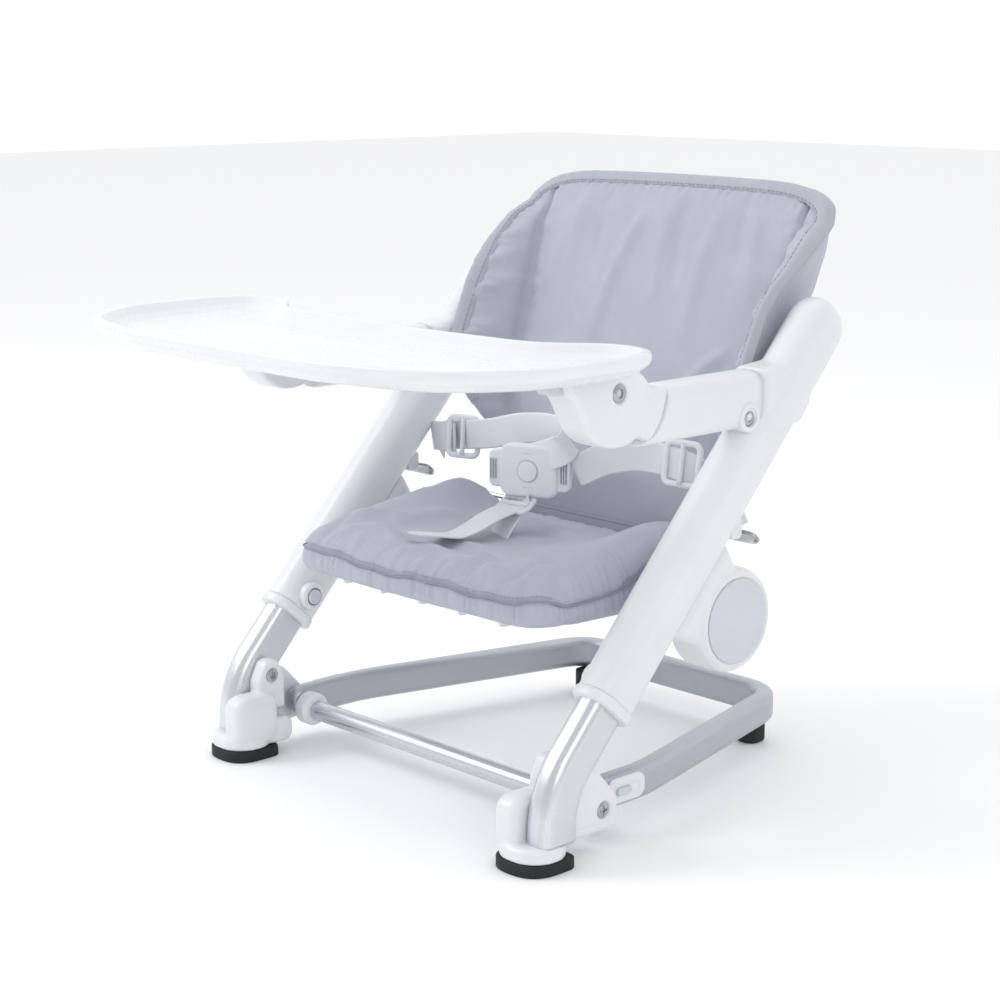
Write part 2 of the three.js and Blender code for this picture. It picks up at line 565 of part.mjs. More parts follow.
function buildBack() {
  addPart("backrest_cushion", lofted(BACK_PROFILE.map(cushionRing)), FABRIC);

  const barrel = bar(10, -107, 107, BACK_HINGE.y, BACK_HINGE.z, 20);
  const foot = acrossX(polygon([
    [216, 166], [230, 158.5], [272, 183], [270, 193], [253, 203], [249.6, 199], [244.6, 183.5], [222, 177.5],
  ]), -95, 95);
  const rodRoom = bar(BACK_HINGE.rod + 1, -150, 150, BACK_HINGE.y, BACK_HINGE.z, 24);
  const tub = shellBlock(6, 34, 0).add(solid(foot)).add(solid(barrel)).subtract(shellBlock(12, 48, 5));
  addPart("backrest_shell", cut(tub, rodRoom), WHITE);
}

// Block behind the panel, deepest at the bottom; its wall leaves room inside when subtracted.
function shellBlock(inset, low, wall) {
  const front = wall ? 0 : -BACK.pad - GAP;
  const side = [[0, front], [0, wall - BACK.shell], [60, wall - BACK.shell], [320, wall - 24], [320, front]];
  return solid(onBack(backOutline(inset, low), -60, 1)).intersect(solid(besideBack(polygon(side), -200, 200)));
}

// ---------------------------------------------------------------- harness
// Moves a piece modelled at the buckle's middle, its width along x, to the buckle's place.
const atBuckle = (geometry) => moved(geometry.rotateZ(BUCKLE.turn), BUCKLE.x, BUCKLE.y, BUCKLE.z);

// Upright webbing along a plan line, rising evenly along x.
function webbing(line, lowZ, rise) {
  const geometry = acrossZ(ribbon(line, WEBBING.thick), 0, WEBBING.wide);
  const position = geometry.attributes.position;
  for (let i = 0; i < position.count; i += 1) {
    position.setZ(i, position.getZ(i) + lowZ + rise * position.getX(i));
  }
  return geometry;
}

function buildHarness() {
  const { wide, high, thick } = BUCKLE;
  const body = acrossY(roundedRect(wide, high, 6), -thick / 2, thick / 2, 2);
  const buttonRoom = bar(8.3, -20, -0.1, 0, 0, 20).rotateZ(Math.PI / 2);
  addPart("buckle_body", atBuckle(toGeometry(cut(joined(body), buttonRoom))), WHITE);
  const button = turned([[0, 0], [8, 0], [8, 4.4], [7, 5.4], [0, 5.8]], -1.7, 0, 0, 14).rotateZ(-Math.PI / 2);
  addPart("buckle_button", atBuckle(moved(button, 0, -3.4, 0)), COVER);

  for (const [name, side] of [["left", 1], ["right", -1]]) {
    const inner = wide / 2 + GAP;
    const outline = roundedRect(24, 32, 4);
    const tongue = moved(acrossY(outline, -3, 3, 1), side * (inner + 12), 0, 0);
    addPart(`buckle_tongue_${name}`, atBuckle(tongue), WHITE);
  }

  const leftLine = [[63, 169.6], [96, 181], [124, 191], [146, 201], [161, 212]];
  const rightLine = [[-41.4, 129.3], [-52, 138], [-76, 160], [-110, 178], [-140, 194], [-161, 208]];
  const asPoints = (line) => line.map(([x, y]) => new THREE.Vector2(x, y));
  addPart("waist_belt_left", webbing(asPoints(leftLine), 236, 0.02), STRAP);
  addPart("waist_belt_right", webbing(asPoints(rightLine), 237, 0.06), STRAP);
  addAdjuster("belt_adjuster_left", [116, 183.4], [142, 193.4], 247 - 7.5);
  addAdjuster("belt_adjuster_right", [-138, 186.6], [-112, 173.4], 242 - 7.5);

  const strapSide = [[112, 188], [134, 197], [151, 217]];
  const line = strapSide.map(([y, z]) => new THREE.Vector2(y, z));
  addPart("crotch_strap", acrossX(ribbon(line, WEBBING.thick), -4.5, 20.5), STRAP);
}

// Flat slide in front of the webbing, between two plan points.
function addAdjuster(name, from, to, low) {
  const [a, b] = [new THREE.Vector2(...from), new THREE.Vector2(...to)];
  addPart(name, acrossZ(ribbon([a, b], 3.2), low, low + 32), WHITE);
}

buildBase();
buildLegs();
buildSleeve();
buildCap();
buildHub();
buildArm();
buildHolder();
buildTray();
buildSeat();
buildBack();
buildHarness();

export default chair;
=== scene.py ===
"""Looks of a low folding baby high chair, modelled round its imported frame."""

from __future__ import annotations

import logging
import math
from collections.abc import Callable, Sequence
from dataclasses import dataclass, field
from enum import Enum

import bpy
import numpy as np
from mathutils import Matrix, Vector
from numpy.typing import NDArray


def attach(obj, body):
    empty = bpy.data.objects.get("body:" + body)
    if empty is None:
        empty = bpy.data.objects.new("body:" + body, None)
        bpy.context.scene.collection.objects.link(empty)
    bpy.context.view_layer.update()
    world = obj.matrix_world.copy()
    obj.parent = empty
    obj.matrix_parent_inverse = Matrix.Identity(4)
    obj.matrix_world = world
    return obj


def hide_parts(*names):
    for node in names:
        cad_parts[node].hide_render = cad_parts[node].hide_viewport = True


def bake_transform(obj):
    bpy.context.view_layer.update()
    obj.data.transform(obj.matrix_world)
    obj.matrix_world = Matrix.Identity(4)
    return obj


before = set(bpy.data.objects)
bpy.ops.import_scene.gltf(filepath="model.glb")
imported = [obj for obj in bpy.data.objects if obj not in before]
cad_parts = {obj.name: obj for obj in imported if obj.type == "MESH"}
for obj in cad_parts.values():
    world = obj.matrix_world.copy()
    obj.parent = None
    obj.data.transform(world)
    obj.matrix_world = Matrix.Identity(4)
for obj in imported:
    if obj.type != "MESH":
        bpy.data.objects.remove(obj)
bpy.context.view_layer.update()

Array = NDArray[np.float64]
log = logging.getLogger("high_chair")

CENTRE_SHIFT = -99.5
LEG_X = 182.0
LEG_LEAN = math.radians(42.5)
RING = (47.3, 106.4)
RECLINE = math.radians(20.6)
PANEL_BASE = (216.5, 172.0)
ROD_MIDDLE = (0, 224, 168)
FRAME_HINGE = (50.0, 31.0)
TRAY_PIVOT = (50.0, 336.0)
TUB_GRID = (70, 96)
BINDING_RADIUS = 7
BINDING_DROP = 5.2


class Side(Enum):
    """Which side of the child a piece is on; the value is the sign of x."""

    LEFT = 1
    RIGHT = -1

    @property
    def word(self) -> str:
        """The side's name as used in piece names."""
        return self.name.lower()


class Drive(Enum):
    """Shape of the recess in a screw's head."""

    HEX = "hex"
    CROSS = "cross"


class Plane(Enum):
    """Plane in which an outline is drawn; the order gives (first, second, depth) axes."""

    YZ = (1, 2, 0)
    XZ = (0, 2, 1)
    XY = (0, 1, 2)


# ---------------------------------------------------------------- lines and outlines
def smoothstep(low: float, high: float, value: Array) -> Array:
    """Smooth ramp from 0 at low to 1 at high: 3t² - 2t³ of the clipped share.

    Args:
        low: Value where the ramp starts.
        high: Value where the ramp ends.
        value: Values to look up.

    Returns:
        The ramp at each value.
    """
    share = np.clip((value - low) / (high - low), 0, 1)
    return share * share * (3 - 2 * share)


def turn_angles(count: int) -> Array:
    """Evenly spaced angles round a full turn, the last one short of the first."""
    return np.linspace(0, 2 * math.pi, count, endpoint=False)


def unit(rows: Array) -> Array:
    """Vectors along the last axis, made one long."""
    return rows / np.linalg.norm(rows, axis=-1, keepdims=True)


def run_along(line: Array) -> Array:
    """Distance run along a line up to each of its points."""
    return np.concatenate([[0.0], np.cumsum(np.linalg.norm(np.diff(line, axis=0), axis=1))])


def filleted(corners: Sequence[Sequence[float]], steps: int = 10, closed: bool = False) -> Array:
    """Line with rounded corners: each corner is a quadratic curve between its two tangent points.

    Args:
        corners: Points with an optional radius as the third number.
        steps: Points along each rounded corner.
        closed: Whether the last corner joins the first.

    Returns:
        Points of the line, shape (n, 2).
    """
    points: list[Array] = []
    plain = [np.array(c[:2], float) for c in corners]
    count = len(corners)
    for i, corner in enumerate(corners):
        radius = corner[2] if len(corner) > 2 else 0
        if not radius or (not closed and i in (0, count - 1)):
            points.append(plain[i][None])
            continue
        before = plain[i - 1] - plain[i]
        after = plain[(i + 1) % count] - plain[i]
        before /= np.linalg.norm(before)
        after /= np.linalg.norm(after)
        half = math.acos(float(np.clip(before @ after, -1, 1))) / 2
        reach = radius / math.tan(half)
        t = np.linspace(0, 1, steps)[:, None]
        start, end = plain[i] + before * reach, plain[i] + after * reach
        points.append(start * (1 - t) ** 2 + plain[i] * 2 * t * (1 - t) + end * t**2)
    return np.concatenate(points)


def resampled(line: Array, count: int, closed: bool = False) -> Array:
    """The same line with evenly spaced points, by interpolating on its running length.

    Args:
        line: Points, shape (n, k).
        count: Number of points to return.
        closed: Whether the line returns to its start; the start isn't repeated.

    Returns:
        Points, shape (count, k).
    """
    whole = np.concatenate([line, line[:1]]) if closed else line
    steps = np.linalg.norm(np.diff(whole, axis=0), axis=1)
    keep = np.concatenate([[True], steps > 1e-9])
    whole = whole[keep]
    length = np.concatenate([[0.0], np.cumsum(steps[steps > 1e-9])])
    places = np.linspace(0, length[-1], count, endpoint=not closed)
    return np.stack([np.interp(places, length, whole[:, k]) for k in range(whole.shape[1])], axis=1)


def softened(line: Array, rounds: int, closed: bool = False) -> Array:
    """Line smoothed by averaging each point with its neighbours a number of times.

    Args:
        line: Points, shape (n, k).
        rounds: How many times to average.
        closed: Whether the line is a loop; an open line keeps its ends.

    Returns:
        The smoothed points.
    """
    result = line.copy()
    for _ in range(rounds):
        if closed:
            result = (np.roll(result, 1, 0) + 2 * result + np.roll(result, -1, 0)) / 4
        else:
            result[1:-1] = (result[:-2] + 2 * result[1:-1] + result[2:]) / 4
    return result


def rounded_rect(width: float, depth: float, radius: float, count: int = 64) -> Array:
    """Rounded rectangle about the origin, evenly spaced and anticlockwise.

    Args:
        width: Size along the first axis.
        depth: Size along the second axis.
        radius: Corner radius.
        count: Number of points.

    Returns:
        Points, shape (count, 2).
    """
    r = min(radius, width / 2 - 0.01, depth / 2 - 0.01)
    angles = np.linspace(0, math.pi / 2, 16)
    arcs = []
    for turn, (sx, sy) in enumerate([(1, 1), (-1, 1), (-1, -1), (1, -1)]):
        a = angles + turn * math.pi / 2
        centre = np.array([sx * (width / 2 - r), sy * (depth / 2 - r)])
        arcs.append(centre + r * np.stack([np.cos(a), np.sin(a)], axis=1))
    return resampled(np.concatenate(arcs), count, closed=True)


def rounded_between(low: Sequence[float], high: Sequence[float], radius: float, count: int = 64) -> Array:
    """Rounded rectangle between two corners; arguments as in rounded_rect."""
    centre = (np.array(low) + np.array(high)) / 2
    return rounded_rect(high[0] - low[0], high[1] - low[1], radius, count) + centre


def outward(outline: Array) -> Array:
    """Unit normals of a closed outline, pointing out.

    Args:
        outline: Points, shape (n, 2).

    Returns:
        Normals, shape (n, 2): the central difference turned by a right angle, away from the inside.
    """
    along = unit(np.roll(outline, -1, 0) - np.roll(outline, 1, 0))
    area = np.sum(outline[:, 0] * np.roll(outline[:, 1], -1) - np.roll(outline[:, 0], -1) * outline[:, 1])
    normal = np.stack([along[:, 1], -along[:, 0]], axis=1)
    return normal if area > 0 else -normal


# ---------------------------------------------------------------- surfaces
@dataclass
class Surface:
    """A mesh in millimetres: points, faces, and the strap coordinates of each point if it has them."""

    points: Array
    faces: list[Sequence[int]]
    uv: Array | None = None

    def turned_out(self) -> Surface:
        """The surface with its faces turned so that its signed volume is positive."""
        volume = 0.0
        p = self.points
        for size in {len(f) for f in self.faces}:
            f = np.array([x for x in self.faces if len(x) == size])
            for k in range(1, size - 1):
                a, b, c = p[f[:, 0]], p[f[:, k]], p[f[:, k + 1]]
                volume += float(np.einsum("ij,ij->", a, np.cross(b, c)))
        if volume < 0:
            self.faces = [tuple(reversed(f)) for f in self.faces]
        return self

    def on(self, side: Side) -> Surface:
        """The surface as drawn for the left, or mirrored for the right."""
        if side is Side.LEFT:
            return self
        return Surface(self.points * [-1, 1, 1], [tuple(reversed(f)) for f in self.faces], self.uv)


def grid(points: Array, loop_rows: bool = False, loop_columns: bool = True,
         uv: Array | None = None) -> Surface:
    """Surface through a grid of points, its open rows' ends closed with flat faces.

    Args:
        points: Points, shape (rows, columns, 3).
        loop_rows: Whether the last row joins the first.
        loop_columns: Whether the last column joins the first.
        uv: Strap coordinates, shape (rows, columns, 2).

    Returns:
        The closed surface.
    """
    rows, columns = points.shape[:2]
    r = np.arange(rows if loop_rows else rows - 1)[:, None]
    c = np.arange(columns if loop_columns else columns - 1)[None]
    r1, c1 = (r + 1) % rows, (c + 1) % columns
    quads = np.stack([r * columns + c, r * columns + c1, r1 * columns + c1, r1 * columns + c], axis=-1)
    faces: list[Sequence[int]] = [tuple(q) for q in quads.reshape(-1, 4).tolist()]
    if loop_columns and not loop_rows:
        faces.append(tuple(range(columns))[::-1])
        faces.append(tuple(range((rows - 1) * columns, rows * columns)))
    surface = Surface(points.reshape(-1, 3), faces, None if uv is None else uv.reshape(-1, 2))
    return surface.turned_out() if loop_columns else surface


def merged(*parts: Surface) -> Surface:
    """Several surfaces as one mesh."""
    points, faces, start = [], [], 0
    for part in parts:
        points.append(part.points)
        faces += [tuple(i + start for i in f) for f in part.faces]
        start += len(part.points)
    return Surface(np.concatenate(points), faces)


def slab(outline: Array, low: float, high: float, edge: float, plane: Plane,
         edge_low: float | None = None) -> Surface:
    """Plate with rounded edges: the outline moved in and up along a quarter circle at each face.

    Args:
        outline: Closed outline in the plane, shape (n, 2).
        low: Depth of the first face.
        high: Depth of the second face.
        edge: Edge radius at the second face.
        plane: Plane the outline is drawn in.
        edge_low: Edge radius at the first face, the same if left out.

    Returns:
        The closed plate.
    """
    first = edge if edge_low is None else edge_low
    angle = np.linspace(0, math.pi / 2, 6)
    inset = np.concatenate([
        [first + 0.8], first * (1 - np.sin(angle)), edge * (1 - np.cos(angle)), [edge + 0.8],
    ])
    depth = np.concatenate([
        [low], low + first * (1 - np.cos(angle)), high - edge * (1 - np.sin(angle)), [high],
    ])
    flat = outline[None] - inset[:, None, None] * outward(outline)[None]
    points = np.empty((len(inset), len(outline), 3))
    points[..., plane.value[0]] = flat[..., 0]
    points[..., plane.value[1]] = flat[..., 1]
    points[..., plane.value[2]] = depth[:, None]
    return grid(points)


def lathe(profile: Array, centre: Sequence[float], axis: int = 0, count: int = 72) -> Surface:
    """Profile turned about a row axis: radius and distance carried round a circle.

    Args:
        profile: Points as (radius, distance along the axis), shape (n, 2).
        centre: Point where the distance is nought.
        axis: Index of the row axis.
        count: Points round the circle.

    Returns:
        The closed turned surface.
    """
    angle = turn_angles(count)
    radius = np.maximum(profile[:, :1], 0.05)
    across, up = [k for k in (0, 1, 2) if k != axis]
    points = np.empty((len(profile), count, 3))
    points[..., axis] = centre[axis] + profile[:, 1:]
    points[..., across] = centre[across] + radius * np.cos(angle)
    points[..., up] = centre[up] + radius * np.sin(angle)
    return grid(points)


def swept(section: Array, path: Array, across: Array, behind: Array, scale: Array | None = None) -> Surface:
    """Section carried along a path: path point plus section times its two side directions.

    Args:
        section: Closed section, shape (n, 2).
        path: Points, shape (m, 3).
        across: Direction of the section's first axis, shape (m, 3) or (3,).
        behind: Direction of the section's second axis, shape (m, 3) or (3,).
        scale: Size of the section at each point, or None for 1 throughout.

    Returns:
        The closed sweep.
    """
    size = np.ones(len(path)) if scale is None else scale
    across = np.broadcast_to(across, path.shape)
    behind = np.broadcast_to(behind, path.shape)
    flat = section[None] * size[:, None, None]
    points = path[:, None] + flat[..., :1] * across[:, None] + flat[..., 1:] * behind[:, None]
    return grid(points)


def wire(path: Array, radius: float, closed: bool = False, count: int = 16, flat: float = 1.0) -> Surface:
    """Round bar along a path, its section set square to the path by a carried side direction.

    Args:
        path: Points, shape (n, 3).
        radius: Radius of the bar.
        closed: Whether the path is a loop.
        count: Points round the bar.
        flat: Thickness of the second direction as a share of the first.

    Returns:
        The bar.
    """
    along = np.roll(path, -1, 0) - np.roll(path, 1, 0)
    if not closed:
        along[0], along[-1] = path[1] - path[0], path[-1] - path[-2]
    along = unit(along)
    spread = np.linalg.svd(path - path.mean(0))[2][2]
    side = unit(np.cross(along, spread))
    up = np.cross(side, along)
    angle = turn_angles(count)
    ring = radius * np.stack([np.cos(angle), flat * np.sin(angle)], axis=1)
    points = path[:, None] + ring[None, :, :1] * side[:, None] + ring[None, :, 1:] * up[:, None]
    return grid(points, loop_rows=closed)


def strap(path: Array, width_way: Array, width: float = 25.0, thick: float = 1.8) -> Surface:
    """Flat webbing along a path: a thin rounded section, with its own lengthwise and crosswise coordinates.

    Args:
        path: Rough points of the middle line, shape (n, 3).
        width_way: Direction of the width at each rough point, shape (n, 3).
        width: Width of the webbing.
        thick: Its thickness.

    Returns:
        The strap, with strap coordinates in millimetres.
    """
    count = 8 * len(path)
    both = softened(resampled(np.concatenate([path, width_way * 40], axis=1), count), 12)
    middle, wide = both[:, :3], both[:, 3:]
    along = unit(np.gradient(middle, axis=0))
    face = unit(np.cross(along, unit(wide)))
    wide = np.cross(face, along)
    section = rounded_rect(width, thick, thick / 2, 40)
    points = middle[:, None] + section[None, :, :1] * wide[:, None] + section[None, :, 1:] * face[:, None]
    uv = np.stack(np.broadcast_arrays(run_along(middle)[:, None], section[None, :, 0]), axis=-1)
    return grid(points, uv=uv)


# ---------------------------------------------------------------- the leg's and the back's own frames
ALONG = np.array([0.0, math.sin(LEG_LEAN), math.cos(LEG_LEAN)])
BEHIND = np.array([0.0, math.cos(LEG_LEAN), -math.sin(LEG_LEAN)])
ACROSS = np.array([1.0, 0.0, 0.0])
BACK_UP = np.array([0.0, math.sin(RECLINE), math.cos(RECLINE)])
BACK_FRONT = np.array([0.0, -math.cos(RECLINE), math.sin(RECLINE)])


def leg_points(along: Array | Sequence[float], behind: float = 0.0) -> Array:
    """Points in the left leg's middle plane, by distance above the ring and behind the leg's axis."""
    base = np.array([LEG_X, *RING])
    return base + np.asarray(along, float)[..., None] * ALONG + behind * BEHIND


def back_points(x: Array, up: Array, front: Array) -> Array:
    """Points by (x, distance up the panel, distance in front of it)."""
    x, up, front = np.broadcast_arrays(x, up, front)
    points = up[..., None] * BACK_UP + front[..., None] * BACK_FRONT + [0, *PANEL_BASE]
    points[..., 0] = x
    return points


# ---------------------------------------------------------------- making objects
def to_row(points: Array) -> Array:
    """Chair millimetres to the row frame's metres."""
    return (points + [0, CENTRE_SHIFT, 0]) / 1000


def from_row(points: Array) -> Array:
    """The row frame's metres to chair millimetres."""
    return points * 1000 - [0, CENTRE_SHIFT, 0]


def linked(name: str, data: bpy.types.ID) -> bpy.types.Object:
    """A new object with that data, in the scene."""
    obj = bpy.data.objects.new(name, data)
    bpy.context.scene.collection.objects.link(obj)
    return obj


def mesh_object(name: str, surface: Surface) -> bpy.types.Object:
    """A smooth-shaded object from a surface.

    Args:
        name: Object name.
        surface: Shape in chair millimetres.

    Returns:
        The linked object, at the origin.
    """
    mesh = bpy.data.meshes.new(name)
    mesh.from_pydata(to_row(surface.points).tolist(), [], surface.faces)
    mesh.polygons.foreach_set("use_smooth", np.ones(len(mesh.polygons), bool))
    if surface.uv is not None:
        attribute = mesh.attributes.new("strap", "FLOAT_VECTOR", "POINT")
        attribute.data.foreach_set("vector", np.c_[surface.uv / 1000, np.zeros(len(surface.uv))].ravel())
    mesh.update()
    return linked(name, mesh)


def coordinates(obj: bpy.types.Object) -> Array:
    """Vertex positions of an object's mesh, in chair millimetres."""
    co = np.empty(len(obj.data.vertices) * 3)
    obj.data.vertices.foreach_get("co", co)
    return from_row(co.reshape(-1, 3))


def normals(obj: bpy.types.Object) -> Array:
    """Vertex normals of an object's mesh."""
    out = np.empty(len(obj.data.vertices) * 3)
    obj.data.vertex_normals.foreach_get("vector", out)
    return out.reshape(-1, 3)


def move_to(obj: bpy.types.Object, points: Array) -> None:
    """Puts an object's vertices at new places, given in chair millimetres."""
    obj.data.vertices.foreach_set("co", to_row(points).ravel())
    obj.data.update()


def settled(obj: bpy.types.Object) -> bpy.types.Object:
    """The object with its modifiers worked into its mesh, all faces smooth."""
    graph = bpy.context.evaluated_depsgraph_get()
    graph.update()
    mesh = bpy.data.meshes.new_from_object(obj.evaluated_get(graph))
    obj.modifiers.clear()
    old = obj.data
    obj.data = mesh
    bpy.data.meshes.remove(old)
    mesh.name = obj.name
    mesh.polygons.foreach_set("use_smooth", np.ones(len(mesh.polygons), bool))
    return obj


def modify(obj: bpy.types.Object, name: str, kind: str, **settings: object) -> bpy.types.Object:
    """Adds a modifier with its settings, and gives the object back."""
    modifier = obj.modifiers.new(name, kind)
    for label, value in settings.items():
        setattr(modifier, label, value)
    return obj


def fused(name: str, parts: Sequence[Surface], voxel: float, rounds: int,
          cutters: Sequence[Surface] = ()) -> bpy.types.Object:
    """Moulded piece: overlapping surfaces joined into one skin, with soft fillets where they meet.

    Args:
        name: Object name.
        parts: Surfaces to join.
        voxel: Grain of the joined skin, in millimetres.
        rounds: Rounds of smoothing, which set the fillets.
        cutters: Surfaces to cut away before the joining.

    Returns:
        The joined object.
    """
    obj = remeshed(name, merged(*parts), voxel)
    for number, cutter in enumerate(cutters):
        tool = mesh_object(f"{name}_tool_{number}", cutter)
        settled(modify(obj, "cut", "BOOLEAN", operation="DIFFERENCE", solver="EXACT", object=tool))
        bpy.data.objects.remove(tool)
    if cutters:
        add_remesh(obj, voxel)
    return settled(modify(obj, "fillets", "SMOOTH", factor=0.5, iterations=rounds))


def add_remesh(obj: bpy.types.Object, voxel: float) -> bpy.types.Object:
    """Adds a voxel remesh of that grain, in millimetres, and gives the object back."""
    return modify(obj, "skin", "REMESH", mode="VOXEL", voxel_size=voxel / 1000, use_smooth_shade=True)


def remeshed(name: str, surface: Surface, voxel: float) -> bpy.types.Object:
    """A blank: the surface covered with an even mesh of that grain, in millimetres."""
    return settled(add_remesh(mesh_object(name, surface), voxel))


CUSHION_CLOTH = {"quality": 4, "mass": 0.3, "tension_stiffness": 12, "compression_stiffness": 12,
                 "bending_stiffness": 0.6, "use_pressure": True}


def inflate(obj: bpy.types.Object, cap: Callable[[Array], Array], pressure: float = 4.0,
            frames: int = 16) -> bpy.types.Object:
    """Padded cloth: a closed blank is blown up as cloth without gravity, and held within a cap.

    Args:
        obj: The blank.
        cap: Gives the furthest move allowed at each point, in millimetres.
        pressure: Pressure inside.
        frames: Steps to run.

    Returns:
        The filled piece, eased and subdivided once.
    """
    rest = coordinates(obj)
    cloth = obj.modifiers.new("filling", "CLOTH").settings
    for label, value in CUSHION_CLOTH.items():
        setattr(cloth, label, value)
    cloth.uniform_pressure_force = pressure
    cloth.effector_weights.gravity = 0
    scene = bpy.context.scene
    for step in range(1, frames + 1):
        scene.frame_set(step)
    settled(obj)
    scene.frame_set(1)
    move = coordinates(obj) - rest
    length = np.linalg.norm(move, axis=1, keepdims=True)
    allowed = cap(rest)[:, None]
    move_to(obj, rest + move * np.minimum(1, allowed / np.maximum(length, 1e-6)))
    modify(obj, "ease", "SMOOTH", factor=0.5, iterations=3)
    return settled(modify(obj, "finer", "SUBSURF", levels=1, render_levels=1))


def screw(centre: Sequence[float], axis_sign: int, radius: float, drive: Drive) -> Surface:
    """Button screw head facing along x: a domed disc whose height drops in its recess.

    Args:
        centre: Middle of the head's seat.
        axis_sign: 1 when the head faces +x.
        radius: Head radius.
        drive: Shape of the recess.

    Returns:
        The head.
    """
    angle = turn_angles(96)
    ring = np.concatenate([[0.01], np.linspace(0.06, 0.9, 34), [0.94, 0.98, 1.0, 1.0, 1.0]])
    r = ring[:, None] * np.ones_like(angle)
    x, y = r * np.cos(angle), r * np.sin(angle)
    if drive is Drive.HEX:
        turns = [k * math.pi / 3 for k in range(6)]
        reach = np.max([x * math.cos(a) + y * math.sin(a) for a in turns], axis=0)
        inside = smoothstep(0.50, 0.44, reach)
    else:
        arm = np.minimum(np.maximum(abs(x) / 0.62, abs(y) / 0.13), np.maximum(abs(y) / 0.62, abs(x) / 0.13))
        inside = smoothstep(1.05, 0.85, arm)
    height = 0.34 * np.sqrt(np.maximum(1 - (0.9 * r) ** 2, 0)) - 0.42 * inside
    height[-2:] = [[-0.25], [-0.6]]
    points = np.stack([centre[0] + axis_sign * height * radius, centre[1] + x * radius,
                       centre[2] + y * radius], axis=-1)
    return grid(points)


# ---------------------------------------------------------------- finishes
class Wiring:
    """Short calls for placing and joining nodes in one tree."""

    def __init__(self, tree: bpy.types.NodeTree) -> None:
        """Keeps the tree to work in."""
        self.tree = tree

    def node(self, kind: str, inputs: dict | None = None, **settings: object) -> bpy.types.Node:
        """Adds a node.

        Args:
            kind: Blender's node type.
            inputs: Socket name or number to a value, or to a socket to join from.
            settings: Properties of the node.

        Returns:
            The new node.
        """
        node = self.tree.nodes.new(kind)
        for name, value in settings.items():
            setattr(node, name, value)
        for name, value in (inputs or {}).items():
            self.feed(node.inputs[name], value)
        return node

    def feed(self, socket: bpy.types.NodeSocket, value: object) -> None:
        """Joins another socket to this one, or sets its value."""
        if isinstance(value, bpy.types.NodeSocket):
            self.tree.links.new(value, socket)
        else:
            socket.default_value = value

    def math(self, operation: str, a: object, b: object = 0.0) -> bpy.types.NodeSocket:
        """Output of a Math node."""
        return self.node("ShaderNodeMath", {0: a, 1: b}, operation=operation).outputs[0]

    def ramp(self, value: object, low: float, high: float, to_low: float,
             to_high: float) -> bpy.types.NodeSocket:
        """Output of a clamped Map Range node."""
        inputs = {"Value": value, "From Min": low, "From Max": high, "To Min": to_low, "To Max": to_high}
        return self.node("ShaderNodeMapRange", inputs, interpolation_type="SMOOTHSTEP").outputs[0]

    def mix(self, share: object, a: object, b: object, blend: str = "MIX") -> bpy.types.NodeSocket:
        """Output of a colour Mix node."""
        node = self.node("ShaderNodeMix", data_type="RGBA", blend_type=blend)
        self.feed(node.inputs[0], share)
        self.feed(node.inputs[6], a)
        self.feed(node.inputs[7], b)
        return node.outputs[2]

    def noise(self, place: object, scale: object, detail: float = 3.0) -> bpy.types.NodeSocket:
        """Factor of a Noise texture."""
        return self.node("ShaderNodeTexNoise",
                         {"Vector": place, "Scale": scale, "Detail": detail}).outputs[0]


def new_group(name: str, inputs: dict[str, tuple[str, object]],
              outputs: dict[str, str]) -> tuple[Wiring, dict, object]:
    """Starts a shader node group.

    Args:
        name: Group name.
        inputs: Input name to (short kind, value).
        outputs: Output name to short kind.

    Returns:
        The wiring, the inputs by name, and the output node.
    """
    tree = bpy.data.node_groups.new(name, "ShaderNodeTree")
    for label, (kind, value) in inputs.items():
        socket = tree.interface.new_socket(label, in_out="INPUT", socket_type=f"NodeSocket{kind}")
        socket.default_value = value
    for label, kind in outputs.items():
        tree.interface.new_socket(label, in_out="OUTPUT", socket_type=f"NodeSocket{kind}")
    wiring = Wiring(tree)
    start = wiring.node("NodeGroupInput")
    end = wiring.node("NodeGroupOutput")
    return wiring, {label: start.outputs[label] for label in inputs}, end


THREAD_TURN = 6283.18
OUTPUTS = {"Color": "Color", "Roughness": "Float", "Normal": "Vector"}


def finish_group(wiring: Wiring, end: bpy.types.Node, color: object, roughness: object, height: object,
                 strength: object, distance: float) -> None:
    """Sends a colour, a roughness and a bumped normal to a group's outputs."""
    bump = wiring.node("ShaderNodeBump", {"Height": height, "Strength": strength, "Distance": distance})
    for label, value in {"Color": color, "Roughness": roughness, "Normal": bump.outputs[0]}.items():
        wiring.feed(end.inputs[label], value)


